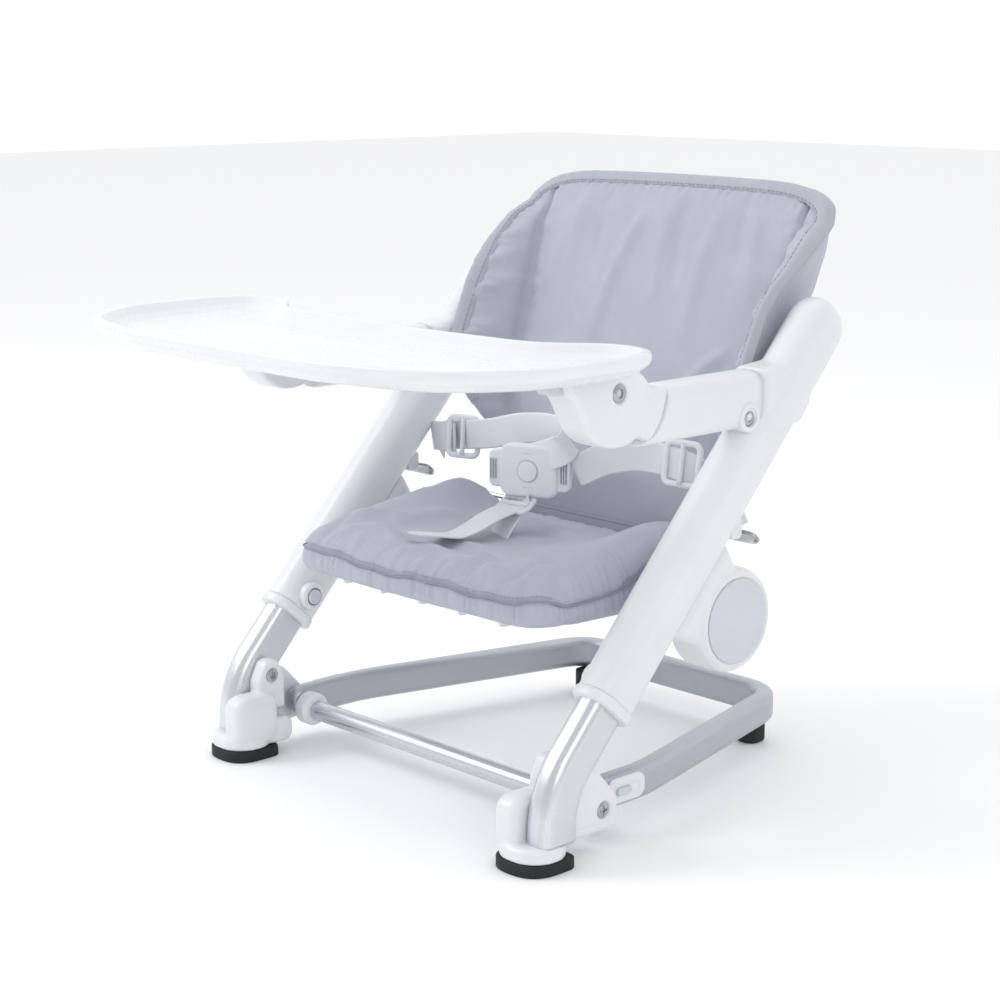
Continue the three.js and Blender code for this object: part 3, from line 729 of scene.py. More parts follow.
def moulded_group() -> bpy.types.NodeTree:
    """Spark-eroded mould texture: fine grain, soft sink marks, faint handling marks and tint drift."""
    w, given, end = new_group("moulded_skin", {
        "Color": ("Color", (0.8, 0.8, 0.8, 1)), "Roughness": ("Float", 0.4), "Grain": ("Float", 2600.0),
        "Depth": ("Float", 0.12), "Marks": ("Float", 0.5),
    }, OUTPUTS)
    place = w.node("ShaderNodeTexCoord").outputs["Object"]
    grain = w.noise(place, given["Grain"], 2.0)
    sink = w.noise(place, 14.0, 2.0)
    rubbed = w.ramp(w.noise(place, 60.0, 5.0), 0.52, 0.72, 0.0, 1.0)
    marks = w.math("MULTIPLY", rubbed, given["Marks"])
    tint = w.mix(w.ramp(sink, 0.3, 0.7, 0.0, 0.5), given["Color"], (0.62, 0.66, 0.72, 1), "SOFT_LIGHT")
    color = w.mix(w.math("MULTIPLY", marks, 0.06), tint, (0.45, 0.46, 0.48, 1))
    rough = w.math("ADD", given["Roughness"], w.math("MULTIPLY", marks, 0.10))
    rough = w.math("ADD", rough, w.math("MULTIPLY", w.math("SUBTRACT", grain, 0.5), 0.06))
    height = w.math("ADD", grain, w.math("MULTIPLY", sink, 0.6))
    finish_group(w, end, color, rough, height, given["Depth"], 0.0002)
    return w.tree


def cloth_group() -> bpy.types.NodeTree:
    """Woven cover cloth: crossed threads with slubs, cloudy dye, a painted highlight on the thread crowns,
    and soft creases with a painted highlight on their ridges.
    """
    w, given, end = new_group("woven_cover", {
        "Color": ("Color", (0.5, 0.5, 0.5, 1)), "Roughness": ("Float", 0.9), "Pitch": ("Float", 0.8),
        "Depth": ("Float", 0.35), "Cloud": ("Float", 0.5),
    }, OUTPUTS)
    place = w.node("ShaderNodeTexCoord").outputs["Object"]
    split = w.node("ShaderNodeSeparateXYZ", {0: place})
    wobble = w.math("MULTIPLY", w.noise(place, 90.0, 2.0), 0.0016)
    across = w.math("ADD", w.math("ADD", split.outputs[0], w.math("MULTIPLY", split.outputs[1], 0.22)),
                    wobble)
    upward = w.math("ADD", w.math("ADD", split.outputs[1], split.outputs[2]), wobble)
    turn = w.math("DIVIDE", THREAD_TURN, given["Pitch"])
    warp = w.math("SINE", w.math("MULTIPLY", across, turn))
    weft = w.math("SINE", w.math("MULTIPLY", upward, turn))
    over = w.math("MULTIPLY", warp, weft)
    threads = w.math("ADD", w.math("MULTIPLY", over, 0.5), 0.5)
    slub = w.noise(place, 700.0, 2.0)
    height = w.math("ADD", w.math("MULTIPLY", threads, 0.7), w.math("MULTIPLY", slub, 0.5))
    cloud = w.noise(place, 11.0, 4.0)
    creases = w.noise(place, 38.0, 3.0)
    dark = w.mix(w.math("MULTIPLY", w.ramp(cloud, 0.3, 0.7, 1.0, 0.0),
                        w.math("MULTIPLY", given["Cloud"], 0.30)),
                 given["Color"], (0.30, 0.31, 0.38, 1))
    # Painted highlight: the thread crowns are drawn paler, following the weave height that also drives the
    # bump.
    with_thread_highlight = w.mix(w.math("MULTIPLY", threads, 0.10), dark, (0.80, 0.82, 0.86, 1))
    # Painted highlight: the ridges of the crease relief are drawn paler; the same creases feed the bump
    # below.
    with_crease_highlight = w.mix(w.math("MULTIPLY", w.ramp(creases, 0.55, 0.75, 0.0, 1.0), 0.10), with_thread_highlight,
                 (0.75, 0.76, 0.80, 1))
    rough = w.math("SUBTRACT", given["Roughness"], w.math("MULTIPLY", threads, 0.08))
    finish_group(w, end, with_crease_highlight, rough, w.math("ADD", height, w.math("MULTIPLY", creases, 1.6)),
                 given["Depth"], 0.0004)
    return w.tree


def webbing_group() -> bpy.types.NodeTree:
    """Narrow webbing: twill ribs crossed by picks with painted shade between them, thicker selvedges with a
    painted highlight, and a little fluff.
    """
    w, given, end = new_group("narrow_webbing", {
        "Color": ("Color", (0.8, 0.8, 0.8, 1)), "Roughness": ("Float", 0.85), "Depth": ("Float", 0.6),
    }, OUTPUTS)
    own = w.node("ShaderNodeAttribute", attribute_name="strap").outputs["Vector"]
    split = w.node("ShaderNodeSeparateXYZ", {0: own})
    run, side = split.outputs[0], split.outputs[1]
    twill = w.math("SINE", w.math("MULTIPLY", w.math("ADD", run, side), THREAD_TURN / 1.6))
    picks = w.math("SINE", w.math("MULTIPLY", w.math("SUBTRACT", run, side), THREAD_TURN / 1.6))
    threads = w.math("ADD", w.math("MULTIPLY", w.math("MULTIPLY", twill, picks), 0.5), 0.5)
    edge = w.ramp(w.math("ABSOLUTE", side), 0.0098, 0.0108, 0.0, 1.0)
    place = w.node("ShaderNodeTexCoord").outputs["Object"]
    fluff = w.noise(place, 1500.0, 3.0)
    cloud = w.noise(place, 25.0, 3.0)
    # Painted shade: the gaps between the threads are drawn darker, following the weave height that also
    # drives the bump.
    color = w.mix(w.math("MULTIPLY", w.math("SUBTRACT", 1.0, threads), 0.22), given["Color"],
                  (0.42, 0.44, 0.50, 1))
    color = w.mix(w.math("MULTIPLY", w.ramp(cloud, 0.4, 0.7, 0.0, 1.0), 0.10), color, (0.55, 0.57, 0.62, 1))
    # Painted highlight: the thicker selvedges are drawn paler.
    color = w.mix(w.math("MULTIPLY", edge, 0.12), color, (0.95, 0.95, 0.96, 1))
    height = w.math("ADD", w.math("ADD", threads, w.math("MULTIPLY", fluff, 0.5)),
                    w.math("MULTIPLY", edge, 0.5))
    rough = w.math("ADD", given["Roughness"], w.math("MULTIPLY", fluff, 0.06))
    finish_group(w, end, color, rough, height, given["Depth"], 0.0003)
    return w.tree


def metal_group() -> bpy.types.NodeTree:
    """Drawn or turned metal: streaks along one direction, faint scuffs and cloudy anodising."""
    w, given, end = new_group("drawn_metal", {
        "Color": ("Color", (0.7, 0.7, 0.7, 1)), "Roughness": ("Float", 0.3),
        "Stretch": ("Vector", (1400.0, 60.0, 60.0)), "Depth": ("Float", 0.15), "Scuffs": ("Float", 0.5),
    }, OUTPUTS)
    place = w.node("ShaderNodeTexCoord").outputs["Object"]
    drawn = w.node("ShaderNodeVectorMath", {0: place, 1: given["Stretch"]}, operation="MULTIPLY").outputs[0]
    streak = w.noise(drawn, 1.0, 4.0)
    cloud = w.noise(place, 22.0, 3.0)
    scuff = w.ramp(w.noise(place, 420.0, 6.0), 0.62, 0.74, 0.0, 1.0)
    scuff = w.math("MULTIPLY", scuff, given["Scuffs"])
    color = w.mix(w.math("MULTIPLY", w.ramp(streak, 0.3, 0.7, 0.0, 1.0), 0.16), given["Color"],
                  (0.42, 0.43, 0.45, 1))
    color = w.mix(w.math("MULTIPLY", w.ramp(cloud, 0.35, 0.7, 0.0, 1.0), 0.12), color, (0.50, 0.52, 0.56, 1))
    color = w.mix(w.math("MULTIPLY", scuff, 0.25), color, (0.86, 0.87, 0.88, 1))
    rough = w.math("ADD", given["Roughness"], w.math("MULTIPLY", w.math("SUBTRACT", streak, 0.5), 0.22))
    rough = w.math("ADD", rough, w.math("MULTIPLY", scuff, 0.15))
    finish_group(w, end, color, rough, streak, given["Depth"], 0.0001)
    return w.tree


def rubber_group() -> bpy.types.NodeTree:
    """Moulded rubber: pebbled skin with pale dust in its pores."""
    w, given, end = new_group("moulded_rubber", {
        "Color": ("Color", (0.02, 0.02, 0.02, 1)), "Roughness": ("Float", 0.7), "Dust": ("Float", 0.4),
    }, OUTPUTS)
    place = w.node("ShaderNodeTexCoord").outputs["Object"]
    pebble = w.node("ShaderNodeTexVoronoi", {"Vector": place, "Scale": 1100.0}).outputs["Distance"]
    dust = w.ramp(w.noise(place, 130.0, 6.0), 0.5, 0.75, 0.0, 1.0)
    dust = w.math("MULTIPLY", dust, given["Dust"])
    color = w.mix(w.math("MULTIPLY", dust, 0.22), given["Color"], (0.32, 0.31, 0.30, 1))
    rough = w.math("ADD", given["Roughness"], w.math("MULTIPLY", dust, 0.2))
    finish_group(w, end, color, rough, pebble, 0.35, 0.0002)
    return w.tree


class Effect(Enum):
    """The shared surface effects, each one node group."""

    MOULDED = "moulded_skin"
    WOVEN = "woven_cover"
    WEBBING = "narrow_webbing"
    METAL = "drawn_metal"
    RUBBER = "moulded_rubber"


@dataclass(frozen=True)
class Finish:
    """One material: a shared effect with its values, and the shader's own constants."""

    name: str
    slot: str
    effect: Effect
    color: tuple[float, float, float]
    roughness: float
    values: dict = field(default_factory=dict)
    metallic: float = 0.0
    sheen: float = 0.0
    coat: float = 0.0

    def material(self) -> bpy.types.Material:
        """The finish's material, made on first use."""
        found = bpy.data.materials.get(self.name)
        if found:
            return found
        material = bpy.data.materials.new(self.name)
        material.use_nodes = True
        material.diffuse_color = (*self.color, 1)
        wiring = Wiring(material.node_tree)
        shader = material.node_tree.nodes["Principled BSDF"]
        effect = wiring.node("ShaderNodeGroup", node_tree=bpy.data.node_groups[self.effect.value])
        given = {"Color": (*self.color, 1), "Roughness": self.roughness, **self.values}
        for label, value in given.items():
            wiring.feed(effect.inputs[label], value)
        sent = {"Base Color": effect.outputs["Color"], "Roughness": effect.outputs["Roughness"],
                "Normal": effect.outputs["Normal"], "Metallic": self.metallic, "IOR": 1.5,
                "Sheen Weight": self.sheen, "Sheen Roughness": 0.4,
                "Coat Weight": self.coat, "Coat Roughness": 0.25}
        for label, value in sent.items():
            wiring.feed(shader.inputs[label], value)
        return material


WHITE = Finish("white_moulding", "white_plastic", Effect.MOULDED, (0.765, 0.775, 0.795), 0.34, coat=0.10)
TRAY_WHITE = Finish("tray_gloss", "white_plastic", Effect.MOULDED, (0.78, 0.79, 0.81), 0.26,
                    {"Grain": 900.0, "Depth": 0.0, "Marks": 0.3}, coat=0.25)
COVER = Finish("cover_grey", "grey_cover", Effect.MOULDED, (0.60, 0.63, 0.665), 0.42, {"Depth": 0.1})
BUCKLE_GREY = Finish("buckle_pale", "grey_cover", Effect.MOULDED, (0.70, 0.725, 0.765), 0.36,
                     {"Depth": 0.05})
SHELL = Finish("shell_white", "white_plastic", Effect.MOULDED, (0.73, 0.74, 0.765), 0.45, {"Depth": 0.3})
TUBE = Finish("drawn_tube", "silver_tube", Effect.METAL, (0.72, 0.735, 0.765), 0.30,
              {"Stretch": (300.0, 12.0, 12.0), "Depth": 0.03, "Scuffs": 0.25}, metallic=0.88)
RAIL = Finish("satin_rail", "silver_tube", Effect.METAL, (0.49, 0.505, 0.545), 0.40,
              {"Stretch": (60.0, 20.0, 300.0), "Depth": 0.04, "Scuffs": 0.3}, metallic=0.75)
BAR = Finish("cross_bar", "silver_tube", Effect.METAL, (0.66, 0.68, 0.71), 0.28,
             {"Stretch": (8.0, 300.0, 300.0), "Depth": 0.02, "Scuffs": 0.2}, metallic=0.9)
STEEL = Finish("turned_steel", "steel", Effect.METAL, (0.46, 0.46, 0.47), 0.24,
               {"Stretch": (2600.0, 300.0, 300.0), "Depth": 0.2}, metallic=1.0)
RUBBER = Finish("sole_rubber", "rubber", Effect.RUBBER, (0.009, 0.010, 0.012), 0.66, {"Dust": 0.12})
CLOTH = Finish("seat_cloth", "seat_fabric", Effect.WOVEN, (0.455, 0.475, 0.545), 0.88, sheen=0.25)
BINDING = Finish("binding_tape", "seat_fabric", Effect.WOVEN, (0.43, 0.445, 0.50), 0.86,
                 {"Pitch": 1.2, "Depth": 0.55, "Cloud": 0.3}, sheen=0.2)
THREAD = Finish("seam_thread", "seat_fabric", Effect.WOVEN, (0.30, 0.31, 0.37), 0.8,
                {"Pitch": 0.5, "Depth": 0.6})
STRAP = Finish("white_webbing", "webbing", Effect.WEBBING, (0.80, 0.815, 0.845), 0.85, sheen=0.15)


def make_effects() -> None:
    """Builds each shared node group once."""
    for build in (moulded_group, cloth_group, webbing_group, metal_group, rubber_group):
        build()


def dress(obj: bpy.types.Object, finish: Finish, body: str | None, *nodes: str) -> bpy.types.Object:
    """Gives a piece its finish and its place in the frame.

    Args:
        obj: The piece.
        finish: Its finish.
        body: CAD body it rides on, or None to leave it on no body.
        nodes: CAD nodes it stands for.

    Returns:
        The same object.
    """
    obj.data.materials.clear()
    obj.data.materials.append(finish.material())
    if body:
        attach(obj, body)
    if nodes:
        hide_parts(*nodes)
    log.info("%s: %d faces, %s", obj.name, len(obj.data.polygons), finish.name)
    return obj


def place(name: str, surface: Surface, finish: Finish, body: str | None, *nodes: str) -> bpy.types.Object:
    """Makes, finishes and places a piece in one call; arguments as in dress."""
    return dress(mesh_object(name, surface), finish, body, *nodes)


# ---------------------------------------------------------------- the floor frame
@dataclass
class FloorFrame:
    """U-shaped rail on the floor, with its cross tube, rear pads and fold latches."""

    rail_x: float = 165.0
    rear_y: float = 334.0
    bend_y: float = 112.0
    lean: float = 0.258
    middle_z: float = 35.0
    hinge_y: float = FRAME_HINGE[0]
    hinge_z: float = FRAME_HINGE[1]

    def rail(self) -> Surface:
        """Flat oval section carried along the plan line; both ends shrink along a quarter circle."""
        rear_x = self.rail_x - (self.rear_y - self.bend_y) * self.lean
        half = [(self.rail_x, self.hinge_y), (self.rail_x, self.bend_y, 150), (rear_x, self.rear_y, 34)]
        other = [(-c[0], *c[1:]) for c in reversed(half)]
        line = softened(resampled(filleted([*half, *other], 16), 320), 6)
        angle = np.linspace(0, math.pi / 2, 7)[1:]
        nose = np.stack([np.full(6, self.rail_x), self.hinge_y - 11.5 * np.sin(angle)], axis=1)
        plan = np.concatenate([nose[::-1], line, nose * [-1, 1]])
        size = np.concatenate([np.cos(angle[::-1]) ** 0.6 * 0.98 + 0.02, np.ones(len(line)),
                               np.cos(angle) ** 0.6 * 0.98 + 0.02])
        along = unit(np.gradient(plan, axis=0))
        path = np.c_[plan, np.full(len(plan), self.middle_z)]
        across = np.c_[along[:, 1], -along[:, 0], np.zeros(len(plan))]
        return swept(rounded_rect(16, 26, 6.4, 72), path, across, np.array([0.0, 0.0, 1.0]), size)

    def build(self) -> None:
        """Makes the rail, tube, collars, pads and latches."""
        place("floor_rail", self.rail(), RAIL, "base", "base_frame")
        end = self.rail_x - 8.6
        tube = filleted([(0.1, -end), (8, -end, 0.6), (8, end, 0.6), (0.1, end)], 5)
        place("floor_cross_tube", lathe(tube, (0, self.hinge_y, self.hinge_z)), BAR, "base", "cross_tube")
        for side in Side:
            self.fittings(side, end)

    def fittings(self, side: Side, tube_end: float) -> None:
        """Makes one side's collar, pad, latch and screw."""
        word = side.word
        collar = filleted([(8.2, 0), (11.4, 0, 1), (13.5, 3, 2), (13.5, 13, 1), (8.2, 13)], 6)
        ring = lathe(collar, (tube_end - 13, self.hinge_y, self.hinge_z))
        place(f"tube_collar_{word}", ring.on(side), WHITE, "base", f"cross_tube_collar_{word}")
        plan = rounded_between((84, 311), (105, 334), 9)
        place(f"rear_foot_{word}", slab(plan, 0, 21.6, 1.0, Plane.XY, 3.0).on(side), RUBBER, "base",
              f"rear_pad_{word}")
        plate = slab(rounded_between((66, 27), (104, 46), 7), 173.2, 175.7, 1.0, Plane.YZ, 0.2)
        slot = rounded_between((71, 32.4), (99, 40.6), 4.1, 96)
        rim = wire(np.c_[np.full(96, 175.5), slot], 0.9, closed=True)
        place(f"latch_plate_{word}", merged(plate, rim).on(side), WHITE, "base", f"fold_latch_guide_{word}")
        pill = slab(rounded_between((72.6, 33.6), (88, 39.4), 2.9), 175, 178.3, 1.3, Plane.YZ, 0.3)
        place(f"latch_slide_{word}", pill.on(side), COVER, f"fold_latch_{word}", f"fold_latch_slider_{word}")
        head = screw((183.6, self.hinge_y, self.hinge_z), 1, 5.9, Drive.CROSS)
        place(f"fold_hinge_screw_{word}", head.on(side), STEEL, "base", f"hinge_screw_{word}")


# ---------------------------------------------------------------- the legs
@dataclass
class Leg:
    """One bent leg tube with its foot."""

    side: Side
    width: float = 23.0
    depth: float = 36.0
    radius: float = 9.0
    bend: float = 70.0
    top: float = 190.0

    def tube(self) -> Surface:
        """Rounded section carried up, round the bend and along the slope."""
        section = rounded_rect(self.width, self.depth, self.radius, 80)
        corner_z = RING[1] - RING[0] / math.tan(LEG_LEAN)
        start_z = corner_z - self.bend * math.tan(LEG_LEAN / 2)
        x = LEG_X + section[:, 0]
        rows = [np.stack([x, section[:, 1], np.full_like(x, z)], axis=1)
                for z in np.linspace(19.5, start_z, 6)]
        for angle in np.linspace(0, LEG_LEAN, 26)[1:]:
            radius = self.bend - section[:, 1]
            rows.append(np.stack([x, self.bend - radius * math.cos(angle),
                                  start_z + radius * math.sin(angle)], 1))
        for along in np.linspace(2, self.top, 30):
            point = leg_points([along])[0]
            rows.append(point + section[:, :1] * ACROSS + section[:, 1:] * BEHIND)
        return grid(np.array(rows))

    def build(self) -> None:
        """Makes the tube, the foot moulding, the sole and the bolt."""
        word = self.side.word
        place(f"leg_{word}", self.tube().on(self.side), TUBE, "legs", f"leg_tube_{word}")
        self.foot(word)

    def foot(self, word: str) -> None:
        """Makes the foot moulding, the sole and the bolt."""
        flange = slab(rounded_between((147, -30), (195, 14), 21), 9.3, 20.5, 5.0, Plane.XY, 1.0)
        block = slab(rounded_between((-27, 10), (16, 53), 12), 149, 171, 7.0, Plane.YZ)
        ear_line = filleted([(0, 36), (28, 36), (28, 62, 12), (21, 78, 8), (9, 78, 8), (1, 62, 12)], 8, True)
        ear = slab(resampled(ear_line, 72, True), 157, 171.5, 3.0, Plane.YZ)
        plate_line = filleted([(12, 16), (64, 16, 10), (64, 40, 16), (44, 62, 16), (30, 68, 10), (12, 60)],
                              8, True)
        plate = slab(resampled(plate_line, 96, True), 176.5, 186, 2.6, Plane.YZ)
        heel = slab(rounded_between((2, 9), (30, 30), 7), 150, 180, 3.0, Plane.YZ)
        recess = lathe(np.array([(0.1, 0), (6.9, 0), (6.9, 5), (0.1, 5)]), (183.4, *FRAME_HINGE))
        groove = wire(np.array([(186.5, 20, 21.5), (186.5, 32, 21.5), (186.5, 44, 21.51),
                                (186.5, 56, 21.5)]), 1.4)
        bolt_room = lathe(np.array([(0.1, 0), (6.4, 0), (6.4, 8), (0.1, 8)]), (151, 15, 65))
        moulding = fused(f"foot_moulding_{word}", [flange, block, ear, plate, heel], 0.95, 7,
                         [recess, groove, bolt_room])
        mirror_if_right(moulding, self.side)
        dress(moulding, WHITE, "legs", f"foot_bracket_{word}")
        outline = filleted([(146, -31, 22), (195.5, -31, 25), (195.5, 14, 9), (146, 14, 8)], 14, True)
        sole = slab(resampled(outline, 120, True), 0, 9.2, 1.6, Plane.XY, 1.2)
        place(f"sole_{word}", sole.on(self.side), RUBBER, "legs", f"foot_sole_{word}")
        bolt = screw((158.4, 15, 65), -1, 5.6, Drive.HEX)
        place(f"foot_bolt_{word}", bolt.turned_out().on(self.side), STEEL, "legs", f"foot_screw_{word}")


def mirror_if_right(obj: bpy.types.Object, side: Side) -> None:
    """Mirrors a finished left piece in x, with its faces turned out again, when the side is the right."""
    if side is Side.RIGHT:
        move_to(obj, coordinates(obj) * [-1, 1, 1])
        obj.data.flip_normals()


# ---------------------------------------------------------------- the sliding carriage
@dataclass
class Upright:
    """One sleeve with its ring, top cap, hub, armrest and harness anchor."""

    side: Side
    joint_z: float = 291.0
    sleeve_reach: float = 14.0
    cap_end: float = 343.0
    hub_y: float = 178.0
    hub_z: float = 151.0

    def put(self, name: str, surface: Surface, finish: Finish, *nodes: str) -> bpy.types.Object:
        """Places a clean surface on this side's carriage."""
        return place(f"{name}_{self.side.word}", surface.on(self.side), finish, "carriage",
                     *(f"{n}_{self.side.word}" for n in nodes))

    def put_fused(self, obj: bpy.types.Object, finish: Finish, *nodes: str) -> None:
        """Places a joined moulding on this side's carriage."""
        mirror_if_right(obj, self.side)
        dress(obj, finish, "carriage", *(f"{n}_{self.side.word}" for n in nodes))

    def stem(self, section: Array, along: Array, size: Array, mitre: bool) -> Surface:
        """Section carried along the leg; with mitre, the first row lies in the level joint plane."""
        points = leg_points(along)[:, None] + (
            section[None, :, :1] * ACROSS + section[None, :, 1:] * BEHIND) * size[:, None, None]
        if mitre:
            first = (self.joint_z - RING[1] + section[:, 1] * math.sin(LEG_LEAN)) / math.cos(LEG_LEAN)
            base = leg_points(first) + section[:, :1] * ACROSS + section[:, 1:] * BEHIND
            points = np.concatenate([base[None], points])
        return grid(points)

    def build(self) -> None:
        """Makes every piece of this side's carriage."""
        self.sleeve()
        self.cap()
        self.hub()
        self.arm()
        self.anchor()

    def sleeve(self) -> None:
        """Sleeve, its lower ring, the lock boss and its button."""
        section = rounded_rect(34, 46, 15.5, 96)
        along = np.concatenate([[7.9, 8.1, 8.8], np.linspace(10, 284, 40)])
        size = np.concatenate([[0.975, 0.99, 0.999], np.ones(40)])
        body = self.stem(section, along, size, False)
        points = body.points
        points[:, 2] = np.minimum(points[:, 2], self.joint_z + self.sleeve_reach)
        lock = leg_points([22.0])[0]
        boss_line = filleted([(7.4, 2), (7.4, -5.6, 0.4), (10.8, -5.6, 2), (13.5, 3)], 6)
        boss = lathe(boss_line[::-1], (165, lock[1], lock[2]))
        tongue = leg_points([176.0], 26)[0]
        lug = slab(rounded_between((-6, -8), (6, 8), 3), -8, 8, 1.2, Plane.YZ)
        lug.points += tongue
        self.put("sleeve_body", merged(body, boss, lug), WHITE, "sleeve")
        ring_size = np.array([0.95, 0.985, 1, 1, 0.99, 0.97])
        ring = self.stem(rounded_rect(36.4, 48.4, 16.6, 96), np.array([0, 0.6, 1.6, 6.4, 7.2, 7.6]),
                         ring_size, False)
        self.put("sleeve_end", ring, WHITE, "sleeve_ring")
        button = filleted([(0.1, -5.8), (3.8, -5.8, 1.0), (4.8, -7.0, 0.5), (6.3, -6.2, 1), (6.3, 2),
                           (0.1, 2)], 6)
        place(f"height_knob_{self.side.word}", lathe(button, (165, lock[1], lock[2])).on(self.side), COVER,
              f"height_button_{self.side.word}", f"height_button_{self.side.word}")

    def cap(self) -> None:
        """Domed cap joined to the arm's bracket, cut level at the seam above the sleeve."""
        angle = np.linspace(0, math.pi / 2, 12)[1:-1]
        along = np.concatenate([np.linspace(283, self.cap_end, 10), self.cap_end + 24 * np.sin(angle),
                                [367]])
        size = np.concatenate([np.ones(10), np.cos(angle), [0.04]])
        stem = self.stem(rounded_rect(36, 48, 17.4, 96), along, size, True)
        line = filleted([(203.4, 291), (250, 291, 4), (262, 306, 8), (262, 330, 10), (238, 340, 16),
                         (203.4, 336.8)], 8, True)
        bracket = slab(resampled(line, 120, True), 165.5, 198.2, 8.0, Plane.YZ)
        self.put_fused(fused(f"cap_moulding_{self.side.word}", [stem, bracket], 1.15, 6), WHITE, "top_cap")

    def hub(self) -> None:
        """Round hub with a neck to the sleeve, and its cover disc with a shadow groove."""
        rim = filleted([(0.1, 0), (40, 0, 2), (40, 30, 9), (33.6, 34, 1.6), (33.1, 31.5, 0.4), (0.1, 31.5)],
                       10)
        drum = lathe(rim, (166, self.hub_y, self.hub_z), count=96)
        middle = (self.hub_y - RING[0]) * math.sin(LEG_LEAN) + (self.hub_z - RING[1]) * math.cos(LEG_LEAN)
        web = [(-46, 18), (40, 18), (26, 62), (-32, 62)]
        corners = [(*leg_points([middle + up], behind)[0][1:], 6) for up, behind in web]
        neck = slab(resampled(filleted(corners, 8, True), 96, True), 167.5, 196.5, 9.0, Plane.YZ)
        self.put_fused(fused(f"hub_moulding_{self.side.word}", [drum, neck], 1.1, 5), WHITE, "hub_drum")
        disc = filleted([(0.1, 0), (32.3, 0), (32.3, 2.6, 0.8), (30.6, 3.2, 0.5), (0.1, 3.5)], 6)
        self.put("hub_disc", lathe(disc, (196.6, self.hub_y, self.hub_z), count=96), COVER, "hub_cover")

    def arm(self) -> None:
        """Armrest: rounded section from the holder's round end back to the cap, with its screw boss."""
        section = rounded_between((167, 294), (197, 336), 11, 96)
        front = TRAY_PIVOT[0] + np.sqrt(50.3**2 - (section[:, 1] - TRAY_PIVOT[1]) ** 2) + 0.4
        inset = np.array([0.94, 0.985, 1.0])
        middle = np.array([182.0, 315.0])
        rows = []
        for size, step in zip(inset, (0.0, 0.5, 1.6)):
            flat = middle + (section - middle) * size
            rows.append(np.stack([flat[:, 0], front + step, flat[:, 1]], axis=1))
        for y in np.linspace(104, 202.9, 16):
            rows.append(np.stack([section[:, 0], np.full(96, y), section[:, 1]], axis=1))
        rod = grid(np.array(rows))
        boss_line = [(0.1, -18), (11, -18), (11, 1.4, 1.6), (7.2, 1.4, 0.6), (6.8, -2.0), (0.1, -2.0)]
        boss = lathe(filleted(boss_line, 6), (197, 188, 303))
        self.put("arm_body", merged(rod, boss), WHITE, "armrest")
        self.put("arm_bolt", screw((195.6, 188, 303), 1, 6.2, Drive.HEX), STEEL, "arm_screw")

    def anchor(self) -> None:
        """Harness anchor behind the sleeve: a flat wire loop with a roll of webbing round its outer bar."""
        middle = leg_points([179.0], 40)[0]
        loop = rounded_rect(33, 10, 4, 80)
        path = middle + loop[:, :1] * ACROSS + loop[:, 1:] * BEHIND
        self.put("anchor_loop", wire(path, 1.5, closed=True), STEEL, "harness_ring")
        out = middle + 5.2 * BEHIND
        spots = np.linspace(-12.5, 12.5, 14)
        angle = turn_angles(40)
        radius = 3.4 + 0.4 * np.cos(angle * 3)
        size = np.array([0.86, 0.98, *np.ones(10), 0.98, 0.86])
        ring = radius[:, None] * (np.cos(angle)[:, None] * BEHIND + np.sin(angle)[:, None] * ALONG)
        rows = out + spots[:, None, None] * ACROSS + ring[None] * size[:, None, None]
        uv = np.stack(np.broadcast_arrays(angle[None] * 3.4, spots[:, None] * 0.8), axis=-1)
        self.put("anchor_webbing", grid(rows, uv=uv), STRAP)


# ---------------------------------------------------------------- the tray
@dataclass
class Tray:
    """Tray with two rear lobes, and the two holders it clips on."""

    round_radius: float = 50.0
    belly_radius: float = 39.0

    def outline(self) -> Array:
        """Plan line: front bow, side lobes and the bay for the child."""
        half = [(0, -150), (104, -149, 130), (196, -126, 64), (239, -64, 74), (240, 0, 60), (235, 60, 34),
                (178, 62, 26), (146, 24, 40), (0, 14)]
        other = [(-c[0], *c[1:]) for c in reversed(half[1:-1])]
        line = filleted([*half, *other, half[0]], 14)
        return softened(resampled(line, 420, True), 46, True)

    def plate(self) -> Surface:
        """Edge profile carried round the plan line: underside, rolled rim, sloping wall and floor."""
        edge = filleted([(24, 353.1), (11, 353.1, 9), (0.3, 361.5, 6), (0.3, 369, 3.0), (6.5, 369, 3.4),
                         (12.5, 363.2, 7), (20.5, 358.8, 6), (24.2, 358.8), (25.5, 358.8)], 8)
        line = self.outline()
        out = outward(line)
        plan = line[None] - edge[:, None, :1] * out[None]
        height = np.broadcast_to(edge[:, 1:], plan.shape[:2])
        return grid(np.concatenate([plan, height[..., None]], axis=-1))

    def holder(self) -> Surface:
        """Holder plate: round rear end about the pivot, round belly and a beak under the tray."""
        arc, belly = ([(TRAY_PIVOT[0] + r * math.cos(a), TRAY_PIVOT[1] + r * math.sin(a)) for a in turns]
                      for r, turns in ((self.round_radius, np.linspace(0, -0.88, 12)),
                                       (self.belly_radius, np.linspace(-1.0, -2.5, 16))))
        line = np.array([(-3, 352.8), (30, 352.8), (66, 352.8), (76, 346), (83, 338), (90, 336),
                         *arc, *belly, (8, 333), (-1, 343)])
        return slab(softened(resampled(line, 180, True), 4, True), 167, 197, 4.5, Plane.YZ)

    def build(self) -> None:
        """Makes the tray, the holders, their screws and the release buttons."""
        place("tray_plate", self.plate(), TRAY_WHITE, "tray", "tray")
        for side in Side:
            word = side.word
            recess = lathe(np.array([(0.1, 0), (7.4, 0), (7.4, 6), (0.1, 6)]), (194.6, *TRAY_PIVOT))
            obj = fused(f"holder_{word}", [self.holder()], 1.1, 4, [recess])
            mirror_if_right(obj, side)
            dress(obj, WHITE, "tray_holders", f"tray_holder_{word}")
            head = screw((194.9, *TRAY_PIVOT), 1, 6.5, Drive.HEX)
            place(f"holder_bolt_{word}", head.on(side), STEEL, "tray_holders", f"holder_screw_{word}")
            button = slab(rounded_between((-9, 339.2), (8, 349.8), 4), 173.2, 190.8, 2.0, Plane.YZ)
            place(f"release_{word}", button.on(side), COVER, f"tray_release_{word}",
                  f"tray_release_button_{word}")


